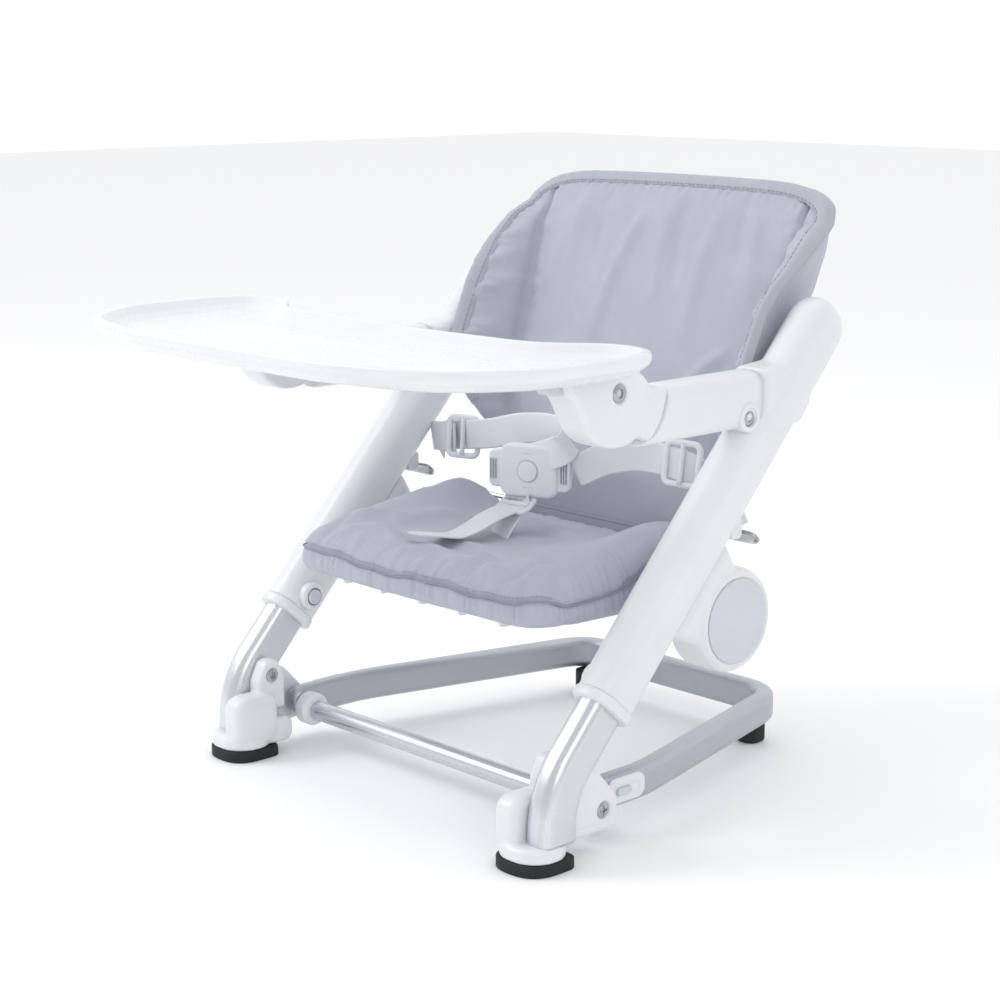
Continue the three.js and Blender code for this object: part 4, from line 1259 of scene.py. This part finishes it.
# ---------------------------------------------------------------- soft pads
@dataclass
class Fold:
    """A soft ridge or crease in cloth, between two points of a pad's plan."""

    start: tuple[float, float]
    end: tuple[float, float]
    height: float
    width: float

    def at(self, plan: Array) -> Array:
        """Height of the fold: its own height times a bell of the distance, fading at both ends."""
        start, end = np.array(self.start), np.array(self.end)
        line = end - start
        length = float(np.linalg.norm(line))
        along = (plan - start) @ line / length**2
        bend = 0.06 * length * np.sin(math.pi * np.clip(along, 0, 1))
        off = (plan - start) @ np.array([-line[1], line[0]]) / length - bend
        ends = smoothstep(-0.08, 0.25, along) * smoothstep(1.08, 0.75, along)
        return self.height * np.exp(-((off / self.width) ** 2)) * ends


def folded(rows: Sequence[Sequence[float]], plan: Array) -> Array:
    """Summed height of several folds.

    Args:
        rows: Each fold's two plan points, height and width: (x, y, x, y, height, width).
        plan: Plan points, shape (n, 2).

    Returns:
        Heights, shape (n,).
    """
    return sum(Fold((a, b), (c, d), height, width).at(plan) for a, b, c, d, height, width in rows)


def edge_distance(plan: Array, outline: Array) -> tuple[Array, Array]:
    """Distance from each plan point to a closed outline, and the nearest outline point's number."""
    near, which = np.empty(len(plan)), np.empty(len(plan), int)
    for part in range(0, len(plan), 4000):
        gap = np.linalg.norm(plan[part:part + 4000, None] - outline[None], axis=2)
        which[part:part + 4000] = gap.argmin(1)
        near[part:part + 4000] = gap.min(1)
    return near, which


def ripple(which: Array, count: int, waves: Sequence[int], seed: int) -> Array:
    """Uneven puckers round a loop: sines of whole numbers of waves with random sizes and starts."""
    rng = np.random.default_rng(seed)
    turn = which * (2 * math.pi / count)
    parts = [rng.uniform(0.5, 1.0) * np.sin(n * turn + rng.uniform(0, 6.3)) for n in waves]
    return np.sum(parts, axis=0) / math.sqrt(len(waves))


def stitches(line: Array, way: Array, pitch: float, length: float, radius: float) -> Surface:
    """A row of thread stitches: short capsules laid along a line, each dipping at its ends."""
    run = run_along(line)
    spots = np.arange(pitch, run[-1] - pitch, pitch)
    share = np.array([-0.5, -0.42, -0.15, 0.15, 0.42, 0.5])
    size = np.array([0.15, 0.75, 1, 1, 0.75, 0.15])
    where = spots[:, None] + share * length
    middle = np.stack([np.interp(where, run, line[:, k]) for k in range(3)], axis=-1)
    out = np.stack([np.interp(where, run, way[:, k]) for k in range(3)], axis=-1)
    side = np.cross(unit(middle[:, -1:] - middle[:, :1]), out)
    angle = turn_angles(6)
    ring = radius * size[None, :, None, None]
    dip = out * (radius * (size - 1))[None, :, None]
    points = (middle + dip)[:, :, None] + ring * (
        np.cos(angle)[:, None] * side[:, :, None] + np.sin(angle)[:, None] * out[:, :, None])
    return merged(*(grid(p) for p in points))


# ---------------------------------------------------------------- the seat
SEAT_FOLDS = (
    (-96, 36, -40, 62, 2.0, 7), (-118, 52, -84, 96, 1.8, 8), (94, 32, 48, 60, 2.0, 7),
    (-20, 26, 12, 54, 1.3, 6), (116, 48, 92, 98, 1.8, 8), (40, 24, 66, 44, 1.2, 5),
    (-78, 70, -70, 150, 2.0, 11), (80, 70, 70, 150, 2.0, 11), (-60, 24, -72, 44, 1.1, 5),
    (-128, 90, -112, 160, 1.4, 8), (-30, 80, 30, 76, 1.2, 9), (-62, 58, 60, 60, -1.4, 9),
    (-84, 60, -30, 40, 1.2, 6), (86, 60, 28, 38, 1.3, 6), (104, 30, 116, 70, -1.5, 5),
    (-104, 30, -112, 70, -1.3, 5), (60, 22, 84, 60, -1.2, 5), (70, 150, 0, 176, 1.5, 8),
    (-70, 150, -6, 178, 1.4, 8), (128, 92, 112, 158, 1.2, 8), (-30, 118, 44, 128, 1.0, 8),
)


@dataclass
class Seat:
    """Moulded pan with its pivots, and the padded cushion on it."""

    half: float = 143.0
    front: float = 17.0
    rear: float = 210.0
    pan_top: float = 165.0
    thick: float = 20.0
    seed: int = 7

    def outline(self) -> Array:
        """Plan line of the cushion, its front corners wide and its front edge slightly bowed."""
        corners = [(0, self.front - 1), (self.half - 4, self.front + 3, 34), (self.half, self.rear, 16),
                   (-self.half, self.rear, 16), (-self.half + 4, self.front + 3, 34), (0, self.front - 1)]
        return softened(resampled(filleted(corners, 12), 480, True), 4, True)

    def seam_height(self, plan: Array) -> Array:
        """Height of the seam round the cushion: level in front, dipping then rising towards the back."""
        side = np.interp(plan[:, 1], [18, 40, 60, 91, 112, 134, 150, 204],
                         [177, 174, 172, 173, 175, 183, 190, 196])
        x = plan[:, 0]
        front = 177 + 0.012 * np.abs(x) + 1.3 * np.sin(x / 19) + 0.7 * np.sin(x / 6.7)
        share = smoothstep(30, 60, plan[:, 1])
        return front + (side - front) * share

    def crown(self, plan: Array) -> Array:
        """Height of the middle: a soft hollow between side bolsters that rise towards the back."""
        x, y = np.abs(plan[:, 0]), plan[:, 1]
        side = np.interp(y, [17, 33, 54, 85, 140, 174, 204], [187, 191, 196, 200, 204, 210, 212])
        hollow = (x / 70) ** 2 + ((y - 115) / 52) ** 2
        middle = 190 + 2.5 * np.exp(-((y - 45) / 24) ** 2) - 2.5 * np.exp(-hollow)
        return middle + (side - middle) * smoothstep(62, 118, x)

    def bend(self, points: Array, rim: Array) -> Array:
        """Flat blank to cushion: its height share runs from the underside to the rolled-over crown."""
        plan = points[:, :2]
        near = edge_distance(plan, rim)[0]
        seam = self.seam_height(plan)
        roll = np.clip(near / 30, 0, 1)
        top = seam + (self.crown(plan) - seam) * np.sqrt(1 - (1 - roll) ** 2)
        skirt = np.interp(plan[:, 1], [17, 26, 70, 113, 204], [160.5, 158.5, 155.5, 154.5, 156])
        low = skirt + (self.pan_top + 0.3 - skirt) * smoothstep(8.5, 13, near)
        share = points[:, 2] / self.thick
        out = points.copy()
        out[:, 2] = low + (top - low) * share
        return out

    def cloth_shape(self, obj: bpy.types.Object, rim: Array) -> None:
        """Sinks the seam, puckers the skirt and the cloth above it, and adds the lying folds."""
        points, out = coordinates(obj), normals(obj)
        plan = points[:, :2]
        near, which = edge_distance(plan, rim)
        above = points[:, 2] - self.seam_height(plan)
        sideways = smoothstep(14, 4, near)
        move = -2.0 * np.exp(-((above / 1.7) ** 2)) * sideways
        fine = ripple(which, len(rim), (97, 131, 149, 173), self.seed)
        wide = ripple(which, len(rim), (31, 43, 57), self.seed + 1)
        skirt = smoothstep(-18, -9, above) * smoothstep(0, -4, above)
        move += (0.9 * fine + 0.9 * wide) * skirt * sideways
        over = smoothstep(0, 3, above) * smoothstep(26, 5, near)
        move += (0.55 * fine + 0.7 * wide) * over
        upward = smoothstep(0.2, 0.8, out[:, 2]) * (points[:, 2] > self.pan_top + 12)
        move += 2.3 * folded(SEAT_FOLDS, plan) * upward
        move_to(obj, points + out * move[:, None])

    def build(self) -> None:
        """Makes the pan, the cushion and its seam."""
        self.pan()
        rim = self.outline()
        blank = remeshed("seat_pad", slab(rim, 0, self.thick, 9.0, Plane.XY, 5.0), 3.0)
        move_to(blank, self.bend(coordinates(blank), rim))
        pad = inflate(blank, lambda p: 0.4 + 3.4 * smoothstep(4, 45, edge_distance(p[:, :2], rim)[0]), 5.0)
        self.cloth_shape(pad, rim)
        dress(pad, CLOTH, "seat", "seat_cushion")
        line = rim - outward(rim) * 0.9
        path = np.c_[line, self.seam_height(line)]
        place("seat_seam", wire(softened(path, 3, True), 0.8, closed=True, count=8), THREAD, "seat")
        row = rim - outward(rim) * 3.2
        height = self.seam_height(row) + 3.5
        way = np.c_[outward(rim) * 0.85, np.full(len(rim), 0.5)]
        seam_row = stitches(np.c_[row + outward(rim) * 0.6, height], way, 3.6, 2.5, 0.32)
        place("seat_stitches", seam_row, THREAD, "seat")

    def pan(self) -> None:
        """Moulded pan: plate, side rails, drop ears and pivot pins joined in one skin."""
        plate = slab(rounded_between((-132, 30), (132, 196), 22), 155.5, 165, 1.5, Plane.XY, 7.5)
        parts = [plate]
        for side in Side:
            rail = slab(rounded_between((118, 162), (160.5, 196), 4), 155.5, 164.8, 2.5, Plane.XY)
            ear = slab(rounded_between((164, 138), (192, 164), 10), 155.2, 160.8, 1.5, Plane.YZ)
            pin = lathe(np.array([(0.1, 0), (8.2, 0), (8.2, 12), (0.1, 12)]), (156, 178, 151))
            lug = slab(rounded_between((181, 157), (235, 181), 10), 113.5, 124.5, 2.5, Plane.YZ)
            parts += [p.on(side) for p in (rail, ear, pin, lug)]
        ribs = [slab(rounded_between((x - 2.2, 36), (x + 2.2, 188), 2), 150.5, 158, 1.0, Plane.XY)
                for x in (-90, -45, 0, 45, 90)]
        dress(fused("seat_pan", [*parts, *ribs], 1.7, 4), SHELL, "seat", "seat_shell")
        bar = filleted([(0.1, -125), (4, -125, 0.6), (4, 125, 0.6), (0.1, 125)], 4)
        place("recline_rod", lathe(bar, ROD_MIDDLE, count=32), STEEL, "seat", "back_hinge_rod")


# ---------------------------------------------------------------- the backrest
BACK_FOLDS = (
    (-46, 150, -18, 286, 2.4, 8), (64, 128, 104, 172, 2.2, 7), (56, 165, 64, 296, 2.0, 9),
    (-104, 120, -60, 170, 1.8, 9), (-88, 210, -92, 298, 1.6, 9), (14, 190, 10, 300, 1.4, 8),
    (-112, 200, -104, 262, 1.4, 8), (112, 210, 100, 286, 1.6, 8), (-10, 96, 40, 128, 1.6, 9),
    (-72, 78, -20, 108, 1.5, 9), (76, 70, 104, 120, 1.8, 9), (30, 220, 26, 300, -1.3, 7),
    (-62, 236, -66, 302, -1.2, 7), (92, 240, 84, 302, -1.2, 7), (-34, 50, 60, 60, 1.2, 10),
)
WING_FOLDS = (
    (133, 214, 160, 186, 1.7, 6), (134, 172, 156, 148, 1.6, 6), (139, 262, 164, 240, 1.5, 6),
    (128, 150, 150, 118, 1.5, 6), (124, 118, 146, 100, 1.3, 5), (141, 240, 160, 216, 1.2, 5),
)
COVER_FOLDS = (
    (-110, 70, -70, 250, 1.6, 12), (96, 64, 80, 240, 1.7, 12), (-20, 60, 6, 200, 1.2, 14),
    (44, 60, 30, 150, 1.2, 9), (-60, 58, -44, 140, 1.2, 9), (120, 120, 60, 290, 1.3, 12),
)
BACK_PROFILE = np.array([
    (4, 100, 0), (22, 104, 0), (50, 112, 0), (74, 130, 2), (86, 142, 18), (104, 152, 38), (128, 160, 51),
    (150, 164, 57), (197, 165, 54), (216, 167, 48), (236, 171, 37), (263, 171, 20), (283, 167, 5),
    (298, 158, 0), (309, 136, 0), (315, 104, 0),
])


@dataclass
class Backrest:
    """Padded panel with two side wings, bound with tape, on a moulded shell."""

    thick: float = 20.0
    wing: float = 13.0
    tape_front: float = 12.5
    tape_back: float = 9.0
    seed: int = 11

    def half_width(self, up: Array) -> Array:
        """Half width at each height."""
        return np.interp(up, BACK_PROFILE[:, 0], BACK_PROFILE[:, 1])

    def wing_depth(self, up: Array) -> Array:
        """How far the wing's edge stands in front of the panel, at each height."""
        return np.maximum(0.0, np.interp(up, BACK_PROFILE[:, 0], BACK_PROFILE[:, 2]))

    def seam(self, up: Array) -> Array:
        """Distance of the seam between panel and wing from the middle."""
        return np.interp(up, [4, 84, 120, 163, 208, 239, 270, 293, 315],
                         [92, 116, 121, 126, 131, 136, 139, 140, 128])

    def outline(self) -> Array:
        """Outline of the pad: up one side, across the top and down the other, with a rounded bottom."""
        up = np.linspace(4, 298, 64)
        right = np.stack([self.half_width(up), up], axis=1)
        top = np.array([(162, 296), (152, 304), (137, 310), (118, 313.6), (96, 315), (60, 315.6), (20, 316)])
        half = np.concatenate([[(20, 4), (60, 4)], right[:-2], top])
        line = np.concatenate([half, (half * [-1, 1])[::-1]])
        return softened(resampled(line, 520, True), 7, True)

    def wing_share(self, x: Array, up: Array) -> Array:
        """Share of the way from the seam to the wing's edge."""
        seam = self.seam(up)
        return np.clip((np.abs(x) - seam) / np.maximum(self.half_width(up) - seam, 6), 0, 1.15)

    def front(self, x: Array, up: Array) -> Array:
        """Depth of the front face: a gently crowned panel, then a puffed slope up the wing."""
        share = self.wing_share(x, up)
        depth = self.wing_depth(up)
        panel = 2.5 * (1 - (x / 150) ** 2) * smoothstep(4, 40, up) * smoothstep(316, 290, up)
        puff = 8.0 * np.sin(math.pi * np.clip(share, 0, 1)) ** 0.8 * smoothstep(3, 20, depth)
        return panel + depth * share + puff

    def back(self, x: Array, up: Array) -> Array:
        """Depth of the rear face: flat behind the panel, then parallel to the wing."""
        share = smoothstep(0.0, 1.0, self.wing_share(x, up))
        edge = self.wing_depth(up) - self.wing
        return -self.thick + (edge + self.thick) * share

    def bend(self, points: Array) -> Array:
        """Flat blank (x, height, share of thickness) to the chair's back."""
        x, up = points[:, 0], points[:, 1]
        share = points[:, 2] / self.thick
        front, back = self.front(x, up), self.back(x, up)
        return back_points(x, up, back + (front - back) * share)

    def split(self, points: Array) -> tuple[Array, Array, Array]:
        """Chair points back to (x, height up the panel, distance in front of it)."""
        local = points - [0, *PANEL_BASE]
        return local[:, 0], local @ BACK_UP, local @ BACK_FRONT

    def cloth_shape(self, obj: bpy.types.Object, rim: Array) -> None:
        """Sinks the wing seams and the tape's border, and adds the hanging folds and puckers."""
        points, out = coordinates(obj), normals(obj)
        x, up = self.split(points)[:2]
        plan = np.stack([x, up], axis=1)
        near, which = edge_distance(plan, rim)
        facing = smoothstep(0.1, 0.5, out @ BACK_FRONT)
        seam = self.seam(up)
        gap = np.abs(x) - seam
        lively = smoothstep(80, 100, up) * smoothstep(312, 296, up)
        move = -4.6 * np.exp(-((gap / 2.6) ** 2)) * lively
        pucker = ripple(which, len(rim), (83, 109, 137), self.seed)
        along = np.sin(up / 3.1 + 1.3 * np.sin(up / 11)) * np.sin(up / 17 + np.sign(x))
        move += 0.8 * along * np.exp(-(((np.abs(gap) - 6) / 5) ** 2)) * lively
        move += 0.9 * pucker * smoothstep(26, 13, near) * smoothstep(9, 13, near) * smoothstep(60, 110, up)
        mirrored = np.stack([np.abs(x), up + 6 * (x < 0)], axis=1)
        move += 1.7 * folded(BACK_FOLDS, plan) + 1.5 * folded(WING_FOLDS, mirrored)
        move -= 1.1 * smoothstep(self.tape_front + 1, self.tape_front - 1, near) * smoothstep(86, 100, up)
        move_to(obj, points + out * (move * facing)[:, None])

    def tape(self, rim: Array) -> None:
        """Binding folded over the edge: columns run in on the front, round the edge and in on the back."""
        keep = rim[:, 1] > 92
        start = int(np.argmax(~keep))
        order = np.roll(np.arange(len(rim)), -start)
        order = order[keep[order]]
        line, out = rim[order], outward(rim)[order]
        line = softened(line, 6)
        dips = np.array([self.tape_front, self.tape_front - 0.4, 9, 6, 3.5, 1.6, 0.3,
                         -0.8, -0.8, 0.3, 1.8, 4, 6.5, self.tape_back])
        lift = np.array([-1.6, 0.7, 1.0, 1.0, 0.9, 0.4, -0.8])
        rows = []
        wave = ripple(np.arange(len(line)), len(line), (61, 89, 113), 5)
        for column, dip in enumerate(dips):
            plan = line - out * (dip + 0.35 * wave * (column < 2))[:, None]
            x, up = plan[:, 0], plan[:, 1]
            front, back = self.front(x, up), self.back(x, up)
            inset = 1 - np.clip(dip / BINDING_RADIUS, 0, 1)
            drop = BINDING_DROP * (1 - np.sqrt(np.clip(1 - inset**2, 0, 1)))
            if column < len(lift):
                depth = front - drop + lift[column] + 0.25 * wave
            else:
                depth = back + drop - (1.2 if column < len(dips) - 1 else -1.2)
            rows.append(back_points(x, up, depth))
        inner = np.array([rows[-1] * 0.5 + rows[0] * 0.5])
        points = np.concatenate([np.array(rows), inner])
        obj = mesh_object("back_binding", grid(np.swapaxes(points, 0, 1)))
        dress(obj, BINDING, "backrest")
        place("back_stitches", self.tape_stitches(line, out), THREAD, "backrest")

    def tape_stitches(self, line: Array, out: Array) -> Surface:
        """Row of stitches just inside the tape's border."""
        plan = line - out * (self.tape_front - 2.2)
        x, up = plan[:, 0], plan[:, 1]
        path = back_points(x, up, self.front(x, up) + 1.05)
        way = np.broadcast_to(BACK_FRONT, path.shape)
        return stitches(path, way, 4.4, 3.1, 0.4)

    def build(self) -> None:
        """Makes the pad, its tape and stitches, the wing seams, and the shell."""
        rim = self.outline()
        blank = remeshed("back_pad", slab(rim, 0, self.thick, 8.0, Plane.XY, 8.0), 3.2)
        move_to(blank, self.bend(coordinates(blank)))
        pad = inflate(blank, lambda p: 0.3 + 3.0 * smoothstep(4, 40, edge_distance(
            np.stack(self.split(p)[:2], axis=1), rim)[0]), 4.0)
        self.cloth_shape(pad, rim)
        dress(pad, CLOTH, "backrest", "backrest_cushion")
        self.tape(rim)
        for side in Side:
            up = np.linspace(92, 306, 90)
            x = side.value * self.seam(up)
            path = back_points(x, up, self.front(x, up) - 3.2)
            place(f"wing_seam_{side.word}", wire(path, 1.0, count=8), THREAD, "backrest")
        self.shell()

    def tub(self, low: float, grow: float) -> Surface:
        """Open tub behind the pad: depth falls from the middle to the rim as a high power of the distance.

        Args:
            low: Height up the panel where it starts.
            grow: How far it stands outside the moulded shell's middle surface.

        Returns:
            The open surface.
        """
        rows, columns = TUB_GRID
        up = np.linspace(low, 306 + grow / 2, rows)
        half = (self.half_width(up) - 7 + grow) * np.sqrt(1 - smoothstep(262, 312, up) * 0.18)
        share = np.linspace(-1, 1, columns)
        x = half[:, None] * share
        height = np.broadcast_to(up[:, None], x.shape)
        rim = self.back(x, height) + 0.4
        deep = -48 - grow + 24 * smoothstep(60, 320, height) + 8 * smoothstep(60, 30, height)
        crest = ((height - 34) / 272) ** 14
        share_in = np.clip(np.maximum((np.abs(share) ** 9)[None], crest), 0, 1)
        return grid(back_points(x, height, np.minimum(deep + (rim - deep) * share_in, rim)),
                    loop_columns=False)

    def skin(self, name: str, surface: Surface, thick: float) -> bpy.types.Object:
        """An open surface given a thickness, in millimetres, and subdivided once."""
        obj = modify(mesh_object(name, surface), "wall", "SOLIDIFY", thickness=thick / 1000, offset=0.0,
                     use_even_offset=True)
        return settled(modify(obj, "finer", "SUBSURF", levels=1, render_levels=1))

    def cover(self) -> None:
        """Rear of the cloth cover, drawn over the shell like a pocket, with a rolled hem."""
        surface = self.tub(56, 2.6)
        points = surface.points
        x, up = self.split(points)[:2]
        plan = np.stack([x, up], axis=1)
        surface.points = points - BACK_FRONT * folded(COVER_FOLDS, plan)[:, None]
        hem = surface.points.reshape(*TUB_GRID, 3)[0]
        dress(self.skin("back_cover", surface, 1.3), CLOTH, "backrest")
        place("back_cover_hem", wire(softened(hem, 2), 1.7, count=10), BINDING, "backrest")

    def shell(self) -> None:
        """Moulded shell with its foot, and the cloth cover over it."""
        dress(self.skin("back_shell", self.tub(34, 0), 3.0), SHELL, "backrest", "backrest_shell")
        self.cover()
        tube = lathe(filleted([(4.6, -107), (10, -107, 1.5), (10, 107, 1.5), (4.6, 107)], 6), ROD_MIDDLE)
        foot_line = filleted([(219, 167), (230, 158.5, 4), (272, 183, 5), (270, 193, 4), (253, 203, 4),
                              (249.6, 199), (244.6, 183.5), (222, 177.5)], 6, True)
        feet = [slab(resampled(foot_line, 90, True), x - 9, x + 9, 2.0, Plane.YZ) for x in (-84, 0, 84)]
        web = slab(rounded_between((-94, 186), (94, 205), 4), 246, 252, 2.0, Plane.XZ)
        foot = fused("back_foot", [tube, *feet, web], 1.8, 4)
        dress(foot, SHELL, "backrest")


# ---------------------------------------------------------------- the harness
@dataclass
class Harness:
    """Waist belts, crotch strap, buckle, tongues and slides."""

    turn: float = math.radians(21)

    def belt(self, name: str, spots: Sequence[Sequence[float]], rise: Sequence[float],
             blend: bool = True, node: str = "") -> None:
        """Makes one run of webbing through rough points.

        Args:
            name: Object name.
            spots: Rough points of the middle line.
            rise: Turn of the webbing's width from upright about the path, in degrees, at each point.
            blend: Whether it rides on no body, with its transform baked in, or rides on the seat.
            node: CAD node it stands for, if any.
        """
        path = np.array(spots, float)
        along = unit(np.gradient(path, axis=0))
        flat = unit(np.cross(along, np.array([0.0, 0.0, 1.0])))
        lift = np.cross(flat, along)
        angle = np.radians(np.array(rise))[:, None]
        wide = lift * np.cos(angle) + flat * np.sin(angle)
        obj = place(name, strap(path, wide), STRAP, None if blend else "seat",
                    *([node] if node else []))
        if blend:
            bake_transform(obj)

    def slide(self, name: str, centre: Sequence[float], across: Sequence[float], face: Sequence[float],
              node: str = "", size: tuple[float, float] = (33.0, 36.0)) -> None:
        """Three-bar slide: a rounded frame with a centre bar, set square to a face direction.

        Args:
            name: Object name.
            centre: Its middle.
            across: Direction along the webbing.
            face: Direction it faces.
            node: CAD node it stands for, if any.
            size: Its size along and across the webbing.
        """
        along, out = np.array(across, float), np.array(face, float)
        along /= np.linalg.norm(along)
        side = np.cross(out, along)
        side /= np.linalg.norm(side)
        out = np.cross(along, side)
        frame_line = rounded_rect(size[0] - 5, size[1] - 4, 5, 96)
        spot = np.array(centre, float)
        path = spot + frame_line[:, :1] * along + frame_line[:, 1:] * side
        rim = wire(path, 2.5, closed=True, count=20, flat=0.72)
        reach = size[1] / 2 - 2.5
        bar = wire(spot + np.linspace(-reach, reach, 12)[:, None] * side + 1.2 * out, 2.0)
        place(name, merged(rim, bar), BUCKLE_GREY, "seat", *([node] if node else []))

    def buckle(self) -> None:
        """Buckle with its button and two tongues, turned about a level axis to face the front."""
        centre = np.array([8.0, 148.0, 242.0])
        body = slab(rounded_rect(50, 42, 9, 96), -5.5, 5.5, 2.4, Plane.XZ)
        dish = lathe(filleted([(0.1, -1.2), (9.2, -1.2), (9.2, 6), (0.1, 6)], 3) * [1, -1], (0, -5.5, 0),
                     axis=1)
        slots = [slab(rounded_rect(9, 1.8, 0.8, 40) + [0, z], -8, -4.6, 0.3, Plane.XZ)
                 for z in (-13.5, 13.5)]
        obj = fused("buckle_case", [body], 0.7, 3, [dish, *slots])
        self.tilt(obj, centre)
        dress(obj, BUCKLE_GREY, "seat", "buckle_body")
        cap = filleted([(0.1, -1.2), (8.2, -0.9, 1.2), (8.2, 4), (0.1, 4)], 8)
        button = mesh_object("buckle_press", lathe(cap, (0, -5.6, 0), axis=1))
        self.tilt(button, centre)
        dress(button, BUCKLE_GREY, "buckle_button", "buckle_button")
        for side in Side:
            plate = slab(rounded_rect(24, 30, 5, 80) + [23 * side.value, 0], -3.2, 3.2, 1.6, Plane.XZ)
            grip = [slab(rounded_rect(1.6, 18, 0.7, 30) + [(30.5 + 2.2 * k) * side.value, 0],
                         -4.0, -2.6, 0.5, Plane.XZ) for k in (-1, 0, 1)]
            tongue = mesh_object(f"buckle_tongue_piece_{side.word}", merged(plate, *grip))
            self.tilt(tongue, centre)
            dress(tongue, BUCKLE_GREY, "seat", f"buckle_tongue_{side.word}")

    def tilt(self, obj: bpy.types.Object, centre: Array) -> None:
        """Turns a piece drawn about the origin by the buckle's angle, and moves it in place."""
        points = coordinates(obj)
        cos, sin = math.cos(self.turn), math.sin(self.turn)
        x = points[:, 0] * cos - points[:, 1] * sin
        y = points[:, 0] * sin + points[:, 1] * cos
        move_to(obj, np.stack([x, y, points[:, 2]], axis=1) + centre)

    def build(self) -> None:
        """Makes every strap, slide and buckle part."""
        self.buckle()
        self.belt("waist_belt_a", [(165, 212, 210), (161, 208, 222), (154, 203, 238), (148, 198, 248),
                                   (134, 191, 257), (112, 186, 261), (90, 178, 262), (66, 169, 256),
                                   (44, 162, 244)],
                  [20, 12, 8, 6, 4, 0, -6, -4, 0], node="waist_belt_left")
        self.belt("waist_belt_b", [(-172, 212, 228), (-166, 207, 236), (-152, 201, 243), (-120, 195, 248),
                                   (-80, 187, 255), (-30, 176, 268), (12, 167, 274), (38, 160, 274),
                                   (46, 153, 268), (36, 150, 260), (14, 151, 252), (-14, 149, 246)],
                  [24, 12, 6, 4, 4, 6, 8, 4, 0, 0, 0, 0], node="waist_belt_right")
        self.belt("belt_tail", [(-168, 202, 240), (-158, 198, 242), (-140, 193, 244), (-126, 190, 245)],
                  [4, 0, 0, 0])
        self.slide("belt_slide_a", (131, 189, 259), (-0.95, -0.28, 0.05), (0.28, -0.95, 0.1),
                   "belt_adjuster_left")
        self.slide("belt_slide_b", (-118, 192, 247), (0.93, 0.3, 0.0), (0.3, -0.95, 0.1),
                   "belt_adjuster_right")
        self.belt("crotch_webbing", [(6, 148, 224), (4, 146, 219), (2, 139, 214), (0, 128, 212),
                                     (-2, 112, 208), (-3, 96, 202), (-6, 80, 197), (-10, 64, 200),
                                     (-15, 46, 203)],
                  [90, 88, 86, 86, 88, 90, 92, 94, 96], blend=False, node="crotch_strap")
        self.belt("crotch_anchor", [(0, 120, 190), (1, 126, 199), (2, 133, 207), (3, 138, 212)],
                  [90, 90, 90, 90], blend=False)
        self.slide("crotch_slide", (2, 138, 215), (0.05, -0.85, -0.5), (0, -0.5, 0.86), size=(22.0, 34.0))


# ---------------------------------------------------------------- the studio
@dataclass
class Studio:
    """Pale floor, white surroundings, soft lights and the camera."""

    eye: tuple[float, float, float] = (1.1991, -1.1148, 0.5719)
    target: tuple[float, float, float] = (0.0, 0.0231, 0.2205)
    lens: float = 77.4

    def build(self) -> None:
        """Sets up the world, the floor and the lights."""
        world = bpy.data.worlds.new("surroundings")
        world.use_nodes = True
        wiring = Wiring(world.node_tree)
        background = world.node_tree.nodes["Background"]
        background.inputs["Color"].default_value = (0.98, 0.985, 1.0, 1)
        way = wiring.node("ShaderNodeTexCoord").outputs["Generated"]
        ahead = wiring.node("ShaderNodeVectorMath", {0: way, 1: (-0.69, 0.725, 0.25)},
                            operation="DOT_PRODUCT")
        wiring.feed(background.inputs["Strength"],
                    wiring.ramp(ahead.outputs["Value"], -0.35, 0.45, 0.74, 1.06))
        bpy.context.scene.world = world
        bpy.context.scene.view_settings.view_transform = "Standard"
        self.floor()
        self.lamp("key_light", (-1.5, -1.5, 1.9), 1.1, 21)
        self.lamp("fill_light", (2.2, -0.9, 1.2), 0.7, 7)
        self.lamp("top_light", (0.2, 0.6, 2.6), 1.8, 4)

    def floor(self) -> None:
        """A wide plain floor."""
        mesh = bpy.data.meshes.new("studio_floor")
        mesh.from_pydata([(-9, -9, 0), (9, -9, 0), (9, 9, 0), (-9, 9, 0)], [], [(0, 1, 2, 3)])
        material = bpy.data.materials.new("studio_floor")
        material.use_nodes = True
        shader = material.node_tree.nodes["Principled BSDF"]
        shader.inputs["Base Color"].default_value = (0.985, 0.985, 0.985, 1)
        shader.inputs["Roughness"].default_value = 0.8
        shader.inputs["Specular IOR Level"].default_value = 0.2
        mesh.materials.append(material)
        linked("studio_floor", mesh)

    def lamp(self, name: str, spot: Sequence[float], size: float, power: float) -> None:
        """A square soft light aimed at the middle of the chair."""
        data = bpy.data.lights.new(name, "AREA")
        data.shape, data.size, data.energy = "SQUARE", size, power
        self.aim(linked(name, data), spot)

    def aim(self, obj: bpy.types.Object, spot: Sequence[float]) -> None:
        """Sets an object at a spot, looking at the middle of the chair."""
        obj.location = spot
        obj.rotation_euler = (Vector(self.target) - Vector(spot)).to_track_quat("-Z", "Y").to_euler()

    def camera(self) -> None:
        """The camera, aimed at the chair's middle."""
        data = bpy.data.cameras.new("view")
        data.lens, data.sensor_width = self.lens, 36.0
        obj = linked("view", data)
        self.aim(obj, self.eye)
        bpy.context.scene.camera = obj


def main() -> None:
    """Builds the whole chair and its studio."""
    logging.basicConfig(level=logging.INFO, format="%(message)s")
    studio = Studio()
    studio.camera()
    studio.build()
    make_effects()
    FloorFrame().build()
    for side in Side:
        Leg(side).build()
        Upright(side).build()
    Tray().build()
    Seat().build()
    Backrest().build()
    Harness().build()


if __name__ == "__main__":
    main()
